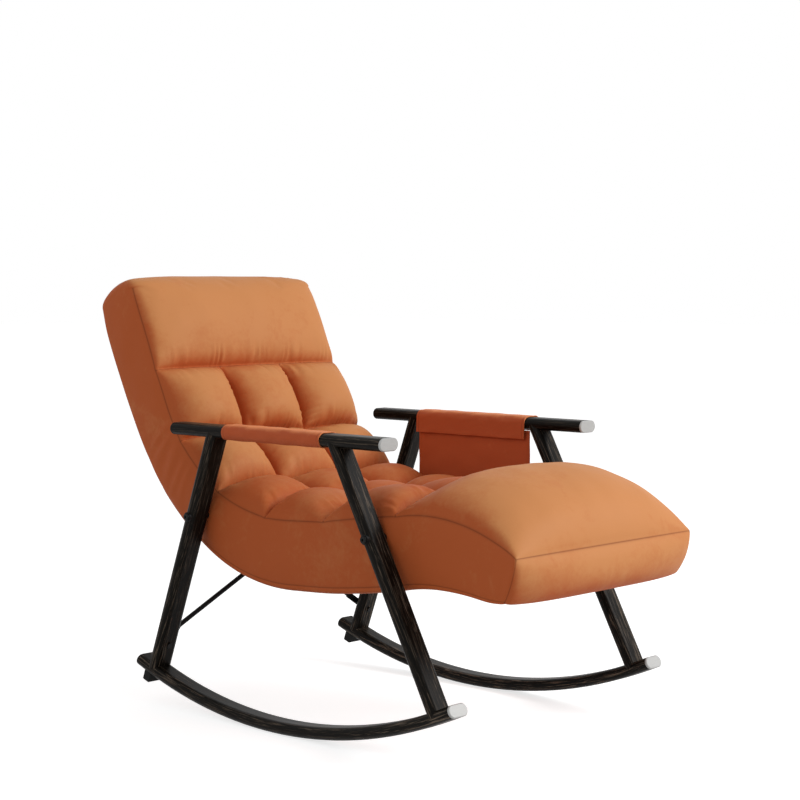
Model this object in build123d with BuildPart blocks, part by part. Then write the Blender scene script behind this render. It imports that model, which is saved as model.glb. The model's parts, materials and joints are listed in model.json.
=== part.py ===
"""Rocking chair with a folding backrest, at real size.

The chair stands on +Z up and faces -Y. The origin is on the floor, midway between
the rockers, under the centre of their arc. Right and left are the sitter's own.
"""

from math import acos, asin, atan2, degrees, radians, sin, cos, sqrt
import os

from build123d import *

os.makedirs("parts", exist_ok=True)

# Width of the upholstery, and its room to the side frames
CUSHION_W = 530.0
SIDE_GAP = 10.0

# Side frames: flat oval tube, wide side across the chair
TUBE_W = 50.0
TUBE_H = 25.0
TUBE_WALL = 1.5
ARM_Z = 586.0
ARM_FRONT_Y = -296.0
ARM_REAR_Y = 294.0
REAR_LEG_TOP_Y = 177.0
REAR_LEG_FOOT_Y = 369.0
FRONT_LEG_TOP_Y = -165.0
FRONT_LEG_FOOT_Y = -427.0
ROCKER_RADIUS = 1125.0
ROCKER_FRONT_Y = -468.0
ROCKER_REAR_Y = 409.0

# Tube ends and the blocks that stop the chair tipping back
CAP_PLATE = 4.0
CAP_EDGE = 1.5
CAP_SPIGOT = 18.0
CAP_CLEARANCE = 0.15
PLUG_DOME = 5.0
STOP_LENGTH = 18.0
STOP_WIDTH = 40.0
STOP_DROP = 20.0
STOP_FROM_END = 30.0
STOP_EDGE = 2.0

# Bolts that carry the upholstered seat on the four legs
BOLT_Z = 408.0
BOLT_D = 8.0
BOLT_HEAD_D = 15.0
BOLT_HEAD_H = 4.0
BOLT_HEX = 5.0
BOLT_HEX_DEPTH = 2.5
BOLT_FIT = 0.06
NUT_D = 15.0
NUT_H = 8.0
WASHER_D = 19.0
WASHER_PROUD = 2.0
SPACER_D = 16.0

# Line of the seat frame, from foot to head, in the middle of the upholstery
PIVOT_TILT = 26.0
HIP_RADIUS = 410.0
BACK_TILT = 65.5
BACK_RUN = 235.0
KNEE_AHEAD = 25.0
KNEE_RADIUS = 450.0
FOOT_DROP = 20.0
FOOT_RUN = 28.0

# Round steel rails, cross bars and hinge plates inside the upholstery
RAIL_D = 25.0
RAIL_WALL = 1.5
RAIL_INSET = 33.0
CROSSBAR_D = 22.0
CROSSBAR_WALL = 1.5
HIP_BAR_D = 20.0
HIP_BAR_AHEAD = 40.0
PLATE_T = 4.0
PLATE_W = 24.0
PLATE_REACH = 62.0
PIVOT_TO_RAIL = 34.0
PLATE_GAP = 0.3
STOP_GAP = 0.3
STRAP_W = 40.0
STRAP_T = 2.0
STRAP_EASE = 0.6
STRAP_PITCH = 68.0
HIP_STRAPS = (1.5, 2.5)
THIGH_STRAPS = (-1.5, -0.75, 0.75)
KNEE_STRAPS = (0.0, 0.5)
BACK_STRAPS = (0.6, 1.5, 2.4)

# Crossed brace rods between the rear legs and the hip bar
ROD_D = 10.0
ROD_LOW_Z = 132.0
ROD_EYE_X = 160.0
ROD_EYE_WALL = 4.0
ROD_EYE_L = 22.0
ROD_EYE_OFFSET = 5.5
ROD_TAB_T = 3.0
ROD_TAB_L = 44.0
ROD_TAB_W = 14.0
ROD_SPACER = 12.0
ROD_BOLT_D = 6.0
ROD_KNOB_D = 12.0
ROD_KNOB_H = 7.0

# Upholstery
SIDE_BULGE = 6.0
BELLY = 6.0
ROLL_IN = 22.0
CAVITY_INSET = 15.0
CAVITY_H = 16.0
BACK_HOLLOW = 40.0
CAVITY_EASE = 1.5
SOFT_GAP = 0.4
PUFF = 44.0
CREASE = 3.0
VALLEY = 3.0
SHOULDER = 0.62
SHOULDER_RISE = 0.82
SHOULDER_BEND = 0.55
SHOULDER_PUSH = 0.1
HEAD_CROWN = 34.0
LEG_CROWN = 78.0
TOE_CROWN = 58.0
END_CROWN = 14.0
TOE_PAD = 42.0
CREASE_CROWN = 8.0
KNEE_CROWN = 30.0
END_ROUND = 12.0
END_TUCK = 10.0
HEAD_ROUND = 24.0

# Seams across the upholstery, as tilts and runs on the line
BACK_SEAM_RUN = 76.0
HEAD_END_RUN = 266.0
WAIST_TILT = 50.8
SEAT_SEAM_TILT = 0.0
SEAT_SEAM_RUN = 105.0
SEAT_PUFF_RUN = 13.0

# Heights of the top and bottom seams over the line, by place
HEAD_UP, HEAD_DOWN = 44.0, 20.0
BACK_UP, BACK_DOWN = 61.0, 57.0
WAIST_UP, WAIST_DOWN = 59.0, 50.0
HIP_UP, HIP_DOWN = 54.0, 64.0
SEAT_UP, SEAT_DOWN = 48.0, 88.0
THIGH_UP, THIGH_DOWN = 41.0, 102.0
LEG_UP, LEG_DOWN = 41.0, 88.0
TOE_UP, TOE_DOWN = 40.0, 67.0
END_UP, END_DOWN = 37.0, 55.0

# Leather on the arms, and the pocket under the left one
SLEEVE_T = 2.5
SLEEVE_EASE = 0.3
RIGHT_SLEEVE = (-140.0, 137.0)
LEFT_SLEEVE = (-150.0, 160.0)
FLAP_DROP = 21.0
POCKET_DEPTH = 165.0
POCKET_T = 16.0
POCKET_WALL = 2.0
POCKET_INSET = 4.0
POCKET_ROUND = 18.0

SIDES = {"right": -1, "left": 1}
SIDE_X = CUSHION_W / 2 + SIDE_GAP + TUBE_W / 2
SEAT_RAIL_X = CUSHION_W / 2 - RAIL_INSET
CAVITY_X = CUSHION_W / 2 - CAVITY_INSET
OUTER_X = SIDE_X + TUBE_W / 2
INNER_X = SIDE_X - TUBE_W / 2
ROCKER_CENTRE = Vector(0, 0, ROCKER_RADIUS + TUBE_H / 2)


def rocker_height(y):
    """Height of the rocker's centre line at a place along the chair."""
    return ROCKER_CENTRE.Z - sqrt(ROCKER_RADIUS**2 - y**2)


def on_leg(top, foot, z):
    """The point of a leg's axis at a height."""
    return top + (foot - top) * ((top.Z - z) / (top.Z - foot.Z))


REAR_TOP = Vector(0, REAR_LEG_TOP_Y, ARM_Z)
REAR_FOOT = Vector(0, REAR_LEG_FOOT_Y, rocker_height(REAR_LEG_FOOT_Y))
FRONT_TOP = Vector(0, FRONT_LEG_TOP_Y, ARM_Z)
FRONT_FOOT = Vector(0, FRONT_LEG_FOOT_Y, rocker_height(FRONT_LEG_FOOT_Y))
PIVOT = on_leg(REAR_TOP, REAR_FOOT, BOLT_Z)
FRONT_BOLT = on_leg(FRONT_TOP, FRONT_FOOT, BOLT_Z)


# The line of the frame: foot, knee arc, thigh, hip arc through the pivot, back
def up_normal(tilt):
    """Direction square to the seat's surface where its line climbs rearward at this tilt."""
    return Vector(0, -sin(radians(tilt)), cos(radians(tilt)))


def forward(tilt):
    """Direction along the line, towards the foot."""
    return Vector(0, -cos(radians(tilt)), -sin(radians(tilt)))


HIP_CENTRE = PIVOT + up_normal(PIVOT_TILT) * HIP_RADIUS
TO_BOLT = FRONT_BOLT - HIP_CENTRE
SEAT_RISE = degrees(atan2(-TO_BOLT.Y, -TO_BOLT.Z) - acos(HIP_RADIUS / TO_BOLT.length))


def hip(tilt):
    return HIP_CENTRE - up_normal(tilt) * HIP_RADIUS


def thigh(run):
    return hip(-SEAT_RISE) + forward(-SEAT_RISE) * run


THIGH_RUN = (FRONT_BOLT - thigh(0)).length + KNEE_AHEAD
KNEE_CENTRE = thigh(THIGH_RUN) - up_normal(-SEAT_RISE) * KNEE_RADIUS


def knee(tilt):
    return KNEE_CENTRE + up_normal(tilt) * KNEE_RADIUS


def foot(run):
    return knee(FOOT_DROP) + forward(FOOT_DROP) * run


def back(run):
    return hip(BACK_TILT) - forward(BACK_TILT) * run


def hip_turn(length):
    """The angle that a length takes up on the hip arc."""
    return degrees(length / HIP_RADIUS)


def station(point, tilt):
    """A plane across the line, its own y pointing out of the seat's surface."""
    return Plane(origin=point, x_dir=(1, 0, 0), z_dir=forward(tilt))


def seat_path(x, rear_tilt, foot_run=FOOT_RUN):
    """The line from the foot to a tilt on the hip arc, moved across by x."""
    shift = Vector(x, 0, 0)
    knee_middle = (FOOT_DROP - SEAT_RISE) / 2
    hip_middle = (rear_tilt - SEAT_RISE) / 2
    Line(foot(foot_run) + shift, foot(0) + shift)
    ThreePointArc(foot(0) + shift, knee(knee_middle) + shift, knee(-SEAT_RISE) + shift)
    Line(thigh(THIGH_RUN) + shift, thigh(0) + shift)
    ThreePointArc(thigh(0) + shift, hip(hip_middle) + shift, hip(rear_tilt) + shift)


def back_path(x, low_tilt, back_run=BACK_RUN):
    """The line from a tilt on the hip arc to the head, moved across by x."""
    shift = Vector(x, 0, 0)
    hip_middle = (low_tilt + BACK_TILT) / 2
    ThreePointArc(hip(low_tilt) + shift, hip(hip_middle) + shift, hip(BACK_TILT) + shift)
    Line(back(0) + shift, back(back_run) + shift)


def finish(piece, name):
    piece.label = name
    export_step(piece, f"parts/{name}.step")


def cross_cylinder(x0, x1, point, diameter, mode=Mode.ADD):
    """A cylinder across the chair from x0 to x1, through a point of the side view."""
    plane = Plane(origin=(x0, point.Y, point.Z), x_dir=(0, 1, 0), z_dir=(1, 0, 0))
    with BuildSketch(plane) as disc:
        Circle(diameter / 2)
    extrude(disc.sketch, amount=x1 - x0, mode=mode)


# Flat oval tubes of the side frames
def oval(plane, wall):
    """The tube's section: a ring with a wall, or the filled outline with none."""
    with BuildSketch(plane) as section:
        SlotOverall(TUBE_W, TUBE_H)
        if wall:
            SlotOverall(TUBE_W - 2 * wall, TUBE_H - 2 * wall, mode=Mode.SUBTRACT)
    return section.sketch


def arm_plane(sign):
    return Plane(origin=(sign * SIDE_X, ARM_FRONT_Y, ARM_Z), x_dir=(1, 0, 0), z_dir=(0, 1, 0))


def rocker_plane(sign, y):
    """Plane across the rocker at y, facing the rear along the arc."""
    turn = asin(y / ROCKER_RADIUS)
    return Plane(
        origin=(sign * SIDE_X, y, rocker_height(y)),
        x_dir=(1, 0, 0),
        z_dir=(0, cos(turn), sin(turn)),
    )


def leg_plane(sign, top, bottom):
    """Plane across a leg at its top, facing down the leg."""
    return Plane(
        origin=top + Vector(sign * SIDE_X, 0, 0), x_dir=(1, 0, 0), z_dir=(bottom - top).normalized()
    )


def make_arm(sign, wall):
    with BuildPart() as arm:
        extrude(oval(arm_plane(sign), wall), amount=ARM_REAR_Y - ARM_FRONT_Y)
    return arm.part


def make_rocker(sign, wall):
    turn = degrees(asin(ROCKER_REAR_Y / ROCKER_RADIUS) - asin(ROCKER_FRONT_Y / ROCKER_RADIUS))
    with BuildPart() as rocker:
        section = oval(rocker_plane(sign, ROCKER_FRONT_Y), wall)
        revolve(section, axis=Axis(ROCKER_CENTRE, (1, 0, 0)), revolution_arc=turn)
    return rocker.part


def make_leg(sign, top, bottom, wall, cutters=(), bolt=None, brace=None):
    """A leg coped to the arm and the rocker, with its bolt holes."""
    with BuildPart() as leg:
        extrude(oval(leg_plane(sign, top, bottom), wall), amount=(bottom - top).length)
        for cutter in cutters:
            add(cutter, mode=Mode.SUBTRACT)
        if bolt:
            hole_d = BOLT_D + 2 * BOLT_FIT
            x0 = sign * SIDE_X - TUBE_W
            cross_cylinder(x0, x0 + 2 * TUBE_W, bolt, hole_d, Mode.SUBTRACT)
        if brace:
            with BuildSketch(brace.offset(-TUBE_H)):
                Circle(ROD_BOLT_D / 2 + BOLT_FIT)
            extrude(amount=2 * TUBE_H, mode=Mode.SUBTRACT)
    return leg.part


REAR_DOWN = (REAR_FOOT - REAR_TOP).normalized()
REAR_OUT = Vector(0, -REAR_DOWN.Z, REAR_DOWN.Y)
ROD_LOW = on_leg(REAR_TOP, REAR_FOOT, ROD_LOW_Z)


def brace_plane(sign):
    """Plane on a rear leg's axis where the brace bolts on, facing the rear."""
    return Plane(origin=ROD_LOW + Vector(sign * SIDE_X, 0, 0), x_dir=(1, 0, 0), z_dir=REAR_OUT)


arm_cores, rocker_cores, leg_cores = {}, {}, {}
for side, sign in SIDES.items():
    arm_cores[side] = make_arm(sign, 0)
    rocker_cores[side] = make_rocker(sign, 0)
    joins = (arm_cores[side], rocker_cores[side])
    finish(make_arm(sign, TUBE_WALL), f"arm_tube_{side}")
    finish(make_rocker(sign, TUBE_WALL), f"rocker_{side}")
    rear = make_leg(sign, REAR_TOP, REAR_FOOT, TUBE_WALL, joins, PIVOT, brace_plane(sign))
    finish(rear, f"rear_leg_{side}")
    front = make_leg(sign, FRONT_TOP, FRONT_FOOT, TUBE_WALL, joins, FRONT_BOLT)
    finish(front, f"front_leg_{side}")
    leg_cores["rear", side] = make_leg(sign, REAR_TOP, REAR_FOOT, 0)
    leg_cores["front", side] = make_leg(sign, FRONT_TOP, FRONT_FOOT, 0)


# Ends of the tubes: flat bright caps in front, domed dark plugs behind
def make_caps(planes, dome):
    """A plug for each tube end, whose plane faces out of the tube."""
    bore_w = TUBE_W - 2 * TUBE_WALL - 2 * CAP_CLEARANCE
    bore_h = TUBE_H - 2 * TUBE_WALL - 2 * CAP_CLEARANCE
    pieces = []
    for plane in planes:
        with BuildPart() as cap:
            with BuildSketch(plane):
                SlotOverall(bore_w, bore_h)
                SlotOverall(bore_w - 2 * TUBE_WALL, bore_h - 2 * TUBE_WALL, mode=Mode.SUBTRACT)
            extrude(amount=-CAP_SPIGOT)
            with BuildSketch(plane):
                SlotOverall(TUBE_W, TUBE_H)
            extrude(amount=PLUG_DOME if dome else CAP_PLATE)
            outer = cap.faces().sort_by(Axis(plane.origin, plane.z_dir))[-1]
            if dome:
                fillet(outer.edges(), PLUG_DOME - CAP_EDGE)
            else:
                chamfer(outer.edges(), CAP_EDGE)
        pieces.append(cap.part.solid())
    return Compound(children=pieces)


def facing_front(plane):
    return Plane(origin=plane.origin, x_dir=(1, 0, 0), z_dir=-plane.z_dir)


arm_front = [facing_front(arm_plane(sign)) for sign in SIDES.values()]
arm_rear = [arm_plane(sign).offset(ARM_REAR_Y - ARM_FRONT_Y) for sign in SIDES.values()]
rocker_front = [facing_front(rocker_plane(sign, ROCKER_FRONT_Y)) for sign in SIDES.values()]
rocker_rear = [rocker_plane(sign, ROCKER_REAR_Y) for sign in SIDES.values()]
finish(make_caps(arm_front, False), "arm_front_caps")
finish(make_caps(arm_rear, True), "arm_rear_plugs")
finish(make_caps(rocker_front, False), "rocker_front_caps")
finish(make_caps(rocker_rear, True), "rocker_rear_plugs")

# Blocks under the rear ends of the rockers, seated on the curve of the tube
for side, sign in SIDES.items():
    with BuildPart() as stop:
        seat = rocker_plane(sign, ROCKER_REAR_Y - STOP_FROM_END)
        down = Plane(origin=seat.origin, x_dir=(1, 0, 0), z_dir=seat.y_dir)
        with BuildSketch(down):
            Rectangle(STOP_WIDTH, STOP_LENGTH)
        extrude(amount=TUBE_H / 2 + STOP_DROP)
        chamfer(faces().sort_by(Axis(down.origin, down.z_dir))[-1].edges(), STOP_EDGE)
        add(rocker_cores[side], mode=Mode.SUBTRACT)
    finish(stop.part, f"tip_stop_{side}")


# Rails of the seat and the back, and the bars between them
BACK_RAIL_X = SEAT_RAIL_X - PLATE_T - PLATE_GAP
SEAT_PLATE_X = SEAT_RAIL_X + RAIL_D / 2
BACK_PLATE_X = BACK_RAIL_X + RAIL_D / 2
RAIL_TURN = hip_turn(PIVOT_TO_RAIL)


def make_rail(path, x, low_or_rear_tilt, diameter, wall):
    """A round tube swept along a stretch of the line."""
    with BuildPart() as rail:
        with BuildLine() as route:
            path(x, low_or_rear_tilt)
        with BuildSketch(Plane(origin=route.line @ 0, z_dir=route.line % 0)):
            Circle(diameter / 2)
            if wall:
                Circle(diameter / 2 - wall, mode=Mode.SUBTRACT)
        sweep()
    return rail.part


seat_rail_cores, back_rail_cores = {}, {}
for side, sign in SIDES.items():
    seat_rail_cores[side] = make_rail(
        seat_path, sign * SEAT_RAIL_X, PIVOT_TILT - RAIL_TURN, RAIL_D, 0
    )
    back_rail_cores[side] = make_rail(
        back_path, sign * BACK_RAIL_X, PIVOT_TILT + RAIL_TURN, RAIL_D, 0
    )
    tube = make_rail(seat_path, sign * SEAT_RAIL_X, PIVOT_TILT - RAIL_TURN, RAIL_D, RAIL_WALL)
    with BuildPart() as seat_rail:
        add(tube)
        x0 = sign * SEAT_RAIL_X - RAIL_D
        cross_cylinder(x0, x0 + 2 * RAIL_D, FRONT_BOLT, BOLT_D + 2 * BOLT_FIT, Mode.SUBTRACT)
    finish(seat_rail.part, f"seat_rail_{side}")
    finish(
        make_rail(back_path, sign * BACK_RAIL_X, PIVOT_TILT + RAIL_TURN, RAIL_D, RAIL_WALL),
        f"back_rail_{side}",
    )


def make_crossbar(point, half_length, diameter, wall, cutters):
    """A tube across the chair, coped to the rails that it meets."""
    with BuildPart() as bar:
        cross_cylinder(-half_length, half_length, point, diameter)
        for cutter in cutters:
            add(cutter, mode=Mode.SUBTRACT)
        inner_d = diameter - 2 * wall
        cross_cylinder(-half_length, half_length, point, inner_d, Mode.SUBTRACT)
    return bar.part.solids().sort_by(SortBy.VOLUME)[-1]


seat_joins = tuple(seat_rail_cores.values())
back_joins = tuple(back_rail_cores.values())
BAR_END = CROSSBAR_D
finish(
    make_crossbar(foot(FOOT_RUN - BAR_END), SEAT_RAIL_X, CROSSBAR_D, CROSSBAR_WALL, seat_joins),
    "foot_crossbar",
)
finish(
    make_crossbar(thigh(THIGH_RUN / 2), SEAT_RAIL_X, CROSSBAR_D, CROSSBAR_WALL, seat_joins),
    "seat_crossbar",
)
finish(
    make_crossbar(back(0), BACK_RAIL_X, CROSSBAR_D, CROSSBAR_WALL, back_joins),
    "lumbar_crossbar",
)
finish(
    make_crossbar(back(BACK_RUN - BAR_END), BACK_RAIL_X, CROSSBAR_D, CROSSBAR_WALL, back_joins),
    "head_crossbar",
)

# The hip bar ties the hinge plates and stops the backrest from below
HIP_BAR_TILT = PIVOT_TILT + hip_turn(HIP_BAR_AHEAD)
HIP_BAR_DEPTH = RAIL_D / 2 + STOP_GAP + HIP_BAR_D / 2
HIP_BAR = hip(HIP_BAR_TILT) - up_normal(HIP_BAR_TILT) * HIP_BAR_DEPTH
finish(make_crossbar(HIP_BAR, SEAT_PLATE_X, HIP_BAR_D, CROSSBAR_WALL, ()), "hip_bar")


# Hinge plates on the pivot bolts: the seat's outside, the back's inside
def plate_outline(far_tilt):
    """A strip of plate along the hip arc, from the pivot to a tilt."""
    with BuildLine(mode=Mode.PRIVATE) as strip:
        ends = [hip(tilt) for tilt in (PIVOT_TILT, (PIVOT_TILT + far_tilt) / 2, far_tilt)]
        ThreePointArc(*[(end.Y, end.Z) for end in ends])
    SlotArc(strip.edge(), PLATE_W)


def make_plate(side, x, far_tilt, tie=None):
    sign = SIDES[side]
    inner = min(sign * x, sign * (x + PLATE_T))
    with BuildPart() as plate:
        with BuildSketch(Plane.YZ.offset(inner)):
            plate_outline(far_tilt)
            if tie:
                middle = (PIVOT + tie) / 2
                lean = degrees(atan2(tie.Z - PIVOT.Z, tie.Y - PIVOT.Y))
                with Locations(Location((middle.Y, middle.Z, 0), (0, 0, lean))):
                    SlotCenterToCenter((tie - PIVOT).length, PLATE_W)
            with Locations((PIVOT.Y, PIVOT.Z)):
                Circle(BOLT_D / 2 + BOLT_FIT, mode=Mode.SUBTRACT)
        extrude(amount=PLATE_T)
    return plate.part


PLATE_TURN = hip_turn(PLATE_REACH)
for side in SIDES:
    seat_plate = make_plate(side, SEAT_PLATE_X, PIVOT_TILT - PLATE_TURN, HIP_BAR)
    finish(seat_plate, f"seat_hinge_plate_{side}")
    finish(make_plate(side, BACK_PLATE_X, PIVOT_TILT + PLATE_TURN), f"back_hinge_plate_{side}")


# Elastic straps hooked over the rails
def make_straps(planes, rail_x):
    """Flat straps over both rails, each end wrapped under its rail."""
    inner_h = RAIL_D + 2 * STRAP_EASE
    outer_h = inner_h + 2 * STRAP_T
    pieces = []
    for plane in planes:
        with BuildPart() as strap:
            with BuildSketch(plane.offset(-STRAP_W / 2)):
                SlotCenterToCenter(2 * rail_x, outer_h)
                SlotCenterToCenter(2 * rail_x, inner_h, mode=Mode.SUBTRACT)
                with Locations((0, -outer_h / 2)):
                    Rectangle(2 * rail_x, outer_h, mode=Mode.SUBTRACT)
            extrude(amount=STRAP_W)
        pieces.append(strap.part.solid())
    return Compound(children=pieces)


hip_tilts = [PIVOT_TILT - hip_turn(place * STRAP_PITCH) for place in HIP_STRAPS]
knee_tilts = [place * FOOT_DROP for place in KNEE_STRAPS]
seat_straps = [station(hip(tilt), tilt) for tilt in hip_tilts]
for place in THIGH_STRAPS:
    seat_straps.append(station(thigh(THIGH_RUN / 2 + place * STRAP_PITCH), -SEAT_RISE))
seat_straps += [station(knee(tilt), tilt) for tilt in knee_tilts]
back_straps = [station(back(place * STRAP_PITCH), BACK_TILT) for place in BACK_STRAPS]
waist_strap = (PIVOT_TILT + PLATE_TURN + BACK_TILT) / 2
back_straps.append(station(hip(waist_strap), waist_strap))
finish(make_straps(seat_straps, SEAT_RAIL_X), "seat_straps")
finish(make_straps(back_straps, BACK_RAIL_X), "back_straps")


# Fasteners at the four legs
def leg_saddle(sign, point, leg_core):
    """A washer hollowed to sit on the round outer edge of a leg."""
    with BuildPart() as washer:
        x0 = sign * (OUTER_X - TUBE_H / 2)
        cross_cylinder(*sorted((x0, sign * (OUTER_X + WASHER_PROUD))), point, WASHER_D)
        add(leg_core, mode=Mode.SUBTRACT)
        cross_cylinder(-2 * OUTER_X, 2 * OUTER_X, point, BOLT_D + 2 * BOLT_FIT, Mode.SUBTRACT)
    return washer.part.solids().sort_by(SortBy.VOLUME)[-1]


def bolt_with_head(sign, point, inner_x):
    """A button bolt from outside the leg to inner_x, with a hexagon socket."""
    seat_x = OUTER_X + WASHER_PROUD
    top_x = seat_x + BOLT_HEAD_H
    with BuildPart() as bolt:
        cross_cylinder(*sorted((sign * inner_x, sign * seat_x)), point, BOLT_D)
        cross_cylinder(*sorted((sign * seat_x, sign * top_x)), point, BOLT_HEAD_D)
        rim = faces().filter_by(Axis.X).sort_by(Axis.X)[-1 if sign > 0 else 0]
        fillet(rim.edges(), BOLT_HEAD_H / 2)
        socket = Plane(origin=(sign * top_x, point.Y, point.Z), z_dir=(-sign, 0, 0))
        with BuildSketch(socket):
            RegularPolygon(BOLT_HEX / 2, 6, major_radius=False)
        extrude(amount=BOLT_HEX_DEPTH, mode=Mode.SUBTRACT)
    return bolt.part.solid()


def nut_at(sign, point, outer_x):
    """A hexagon nut whose outer face is at outer_x."""
    near = Plane(origin=(sign * outer_x, point.Y, point.Z), z_dir=(-sign, 0, 0))
    with BuildPart() as nut:
        with BuildSketch(near):
            RegularPolygon(NUT_D / 2, 6)
            Circle(BOLT_D / 2 + BOLT_FIT, mode=Mode.SUBTRACT)
        extrude(amount=NUT_H)
    return nut.part.solid()


def spacer_between(sign, point, inner_x, cutters):
    """A tube round the bolt, coped to what it meets."""
    with BuildPart() as spacer:
        ends = sorted((sign * inner_x, sign * (INNER_X + TUBE_H / 2)))
        cross_cylinder(*ends, point, SPACER_D)
        for cutter in cutters:
            add(cutter, mode=Mode.SUBTRACT)
        cross_cylinder(*ends, point, BOLT_D + 2 * BOLT_FIT, Mode.SUBTRACT)
    return spacer.part.solids().sort_by(SortBy.VOLUME)[-1]


def rail_saddle(sign, point, rail_core):
    """A washer hollowed to sit on the inner side of a seat rail."""
    face_x = SEAT_RAIL_X - RAIL_D / 2 - WASHER_PROUD
    with BuildPart() as washer:
        cross_cylinder(*sorted((sign * face_x, sign * SEAT_RAIL_X)), point, WASHER_D)
        add(rail_core, mode=Mode.SUBTRACT)
        cross_cylinder(-OUTER_X, OUTER_X, point, BOLT_D + 2 * BOLT_FIT, Mode.SUBTRACT)
    return washer.part.solids().sort_by(SortBy.VOLUME)[-1]


RAIL_SADDLE_X = SEAT_RAIL_X - RAIL_D / 2 - WASHER_PROUD
BOLT_TIP = NUT_H + BOLT_HEAD_H / 2
pivot_bolts, pivot_nuts, front_bolts, front_nuts = [], [], [], []
leg_saddles, rail_saddles, spacers = [], [], []
for side, sign in SIDES.items():
    rear_core, front_core = leg_cores["rear", side], leg_cores["front", side]
    rail_core = seat_rail_cores[side]
    pivot_bolts.append(bolt_with_head(sign, PIVOT, BACK_PLATE_X - BOLT_TIP))
    pivot_nuts.append(nut_at(sign, PIVOT, BACK_PLATE_X - PLATE_GAP))
    front_bolts.append(bolt_with_head(sign, FRONT_BOLT, RAIL_SADDLE_X - BOLT_TIP))
    front_nuts.append(nut_at(sign, FRONT_BOLT, RAIL_SADDLE_X))
    leg_saddles += [leg_saddle(sign, PIVOT, rear_core), leg_saddle(sign, FRONT_BOLT, front_core)]
    rail_saddles.append(rail_saddle(sign, FRONT_BOLT, rail_core))
    spacers.append(spacer_between(sign, PIVOT, SEAT_PLATE_X + PLATE_T, (rear_core,)))
    spacers.append(spacer_between(sign, FRONT_BOLT, SEAT_RAIL_X, (front_core, rail_core)))
finish(Compound(children=pivot_bolts), "pivot_bolts")
finish(Compound(children=pivot_nuts), "pivot_nuts")
finish(Compound(children=front_bolts), "front_bolts")
finish(Compound(children=front_nuts), "front_nuts")
finish(Compound(children=leg_saddles), "leg_saddle_washers")
finish(Compound(children=rail_saddles), "rail_saddle_washers")
finish(Compound(children=spacers), "seat_spacers")


# Crossed brace rods, each from low on a rear leg to an eye round the hip bar
def rod_ends(sign, lift):
    """Lower and upper ends of a rod's axis; lift is the spacer under its tab."""
    low = brace_plane(sign).origin + REAR_OUT * (TUBE_H / 2 + lift + ROD_TAB_T / 2)
    side_step = ROD_EYE_OFFSET if lift else -ROD_EYE_OFFSET
    high = HIP_BAR + Vector(-sign * ROD_EYE_X, 0, 0) + REAR_OUT * side_step
    return low, high


def rod_pieces(sign, lift):
    low, high = rod_ends(sign, lift)
    along = (high - low).normalized()
    across = Plane(origin=low, x_dir=along, z_dir=REAR_OUT)
    eye_d = HIP_BAR_D + 2 * ROD_EYE_WALL
    eye_x = -sign * ROD_EYE_X
    with BuildPart() as rod:
        with BuildSketch(Plane(origin=low + along * ROD_TAB_L, z_dir=along)):
            Circle(ROD_D / 2)
        extrude(amount=(high - low).length - ROD_TAB_L)
        with BuildSketch(across.offset(-ROD_TAB_T / 2)):
            with Locations((ROD_TAB_L / 2, 0)):
                SlotCenterToCenter(ROD_TAB_L, ROD_TAB_W)
            Circle(ROD_BOLT_D / 2 + BOLT_FIT, mode=Mode.SUBTRACT)
        extrude(amount=ROD_TAB_T)
        cross_cylinder(eye_x - ROD_EYE_L / 2, eye_x + ROD_EYE_L / 2, HIP_BAR, eye_d)
        bore = HIP_BAR_D + 2 * BOLT_FIT
        cross_cylinder(eye_x - ROD_EYE_X, eye_x + ROD_EYE_X, HIP_BAR, bore, Mode.SUBTRACT)
    return rod.part.solids().sort_by(SortBy.VOLUME)[-1]


ROD_LIFTS = {"right": 0.0, "left": ROD_SPACER}
brace_bolts = []
for side, sign in SIDES.items():
    lift = ROD_LIFTS[side]
    finish(rod_pieces(sign, lift), f"brace_rod_{side}")
    axis_plane = brace_plane(sign)
    tab_top = TUBE_H / 2 + lift + ROD_TAB_T
    with BuildPart() as brace_bolt:
        with BuildSketch(axis_plane.offset(-TUBE_H / 2 - ROD_KNOB_H / 2)):
            Circle(ROD_KNOB_D / 2)
        extrude(amount=ROD_KNOB_H / 2)
        with BuildSketch(axis_plane.offset(-TUBE_H / 2)):
            Circle(ROD_BOLT_D / 2)
        extrude(amount=TUBE_H / 2 + tab_top)
        with BuildSketch(axis_plane.offset(tab_top)):
            Circle(ROD_KNOB_D / 2)
        extrude(amount=ROD_KNOB_H)
        knob = faces().sort_by(Axis(axis_plane.origin, REAR_OUT))[-1]
        fillet(knob.edges(), ROD_KNOB_H / 3)
    brace_bolts.append(brace_bolt.part.solid())
finish(Compound(children=brace_bolts), "brace_bolts")
with BuildPart() as brace_spacer:
    with BuildSketch(brace_plane(SIDES["left"]).offset(TUBE_H / 2)):
        Circle(ROD_KNOB_D / 2)
        Circle(ROD_BOLT_D / 2 + BOLT_FIT, mode=Mode.SUBTRACT)
    extrude(amount=ROD_SPACER)
finish(brace_spacer.part, "brace_spacer")


# Upholstery: lofts across the line, hollow for the frame
def tufted_section(plane, up, down, crown):
    """Three lobes over a rounded belly: up and down from the line to the seams."""
    w = CUSHION_W / 2 - SIDE_BULGE
    seams = [(w, up), (w / 3, up + VALLEY), (-w / 3, up + VALLEY), (-w, up)]
    with BuildSketch(plane) as section:
        with BuildLine():
            belly_line(w, up, down)
            for (x0, h0), (x1, h1) in zip(seams, seams[1:]):
                ThreePointArc((x0, h0), ((x0 + x1) / 2, (h0 + h1) / 2 + crown), (x1, h1))
        make_face()
    return section.sketch


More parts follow.
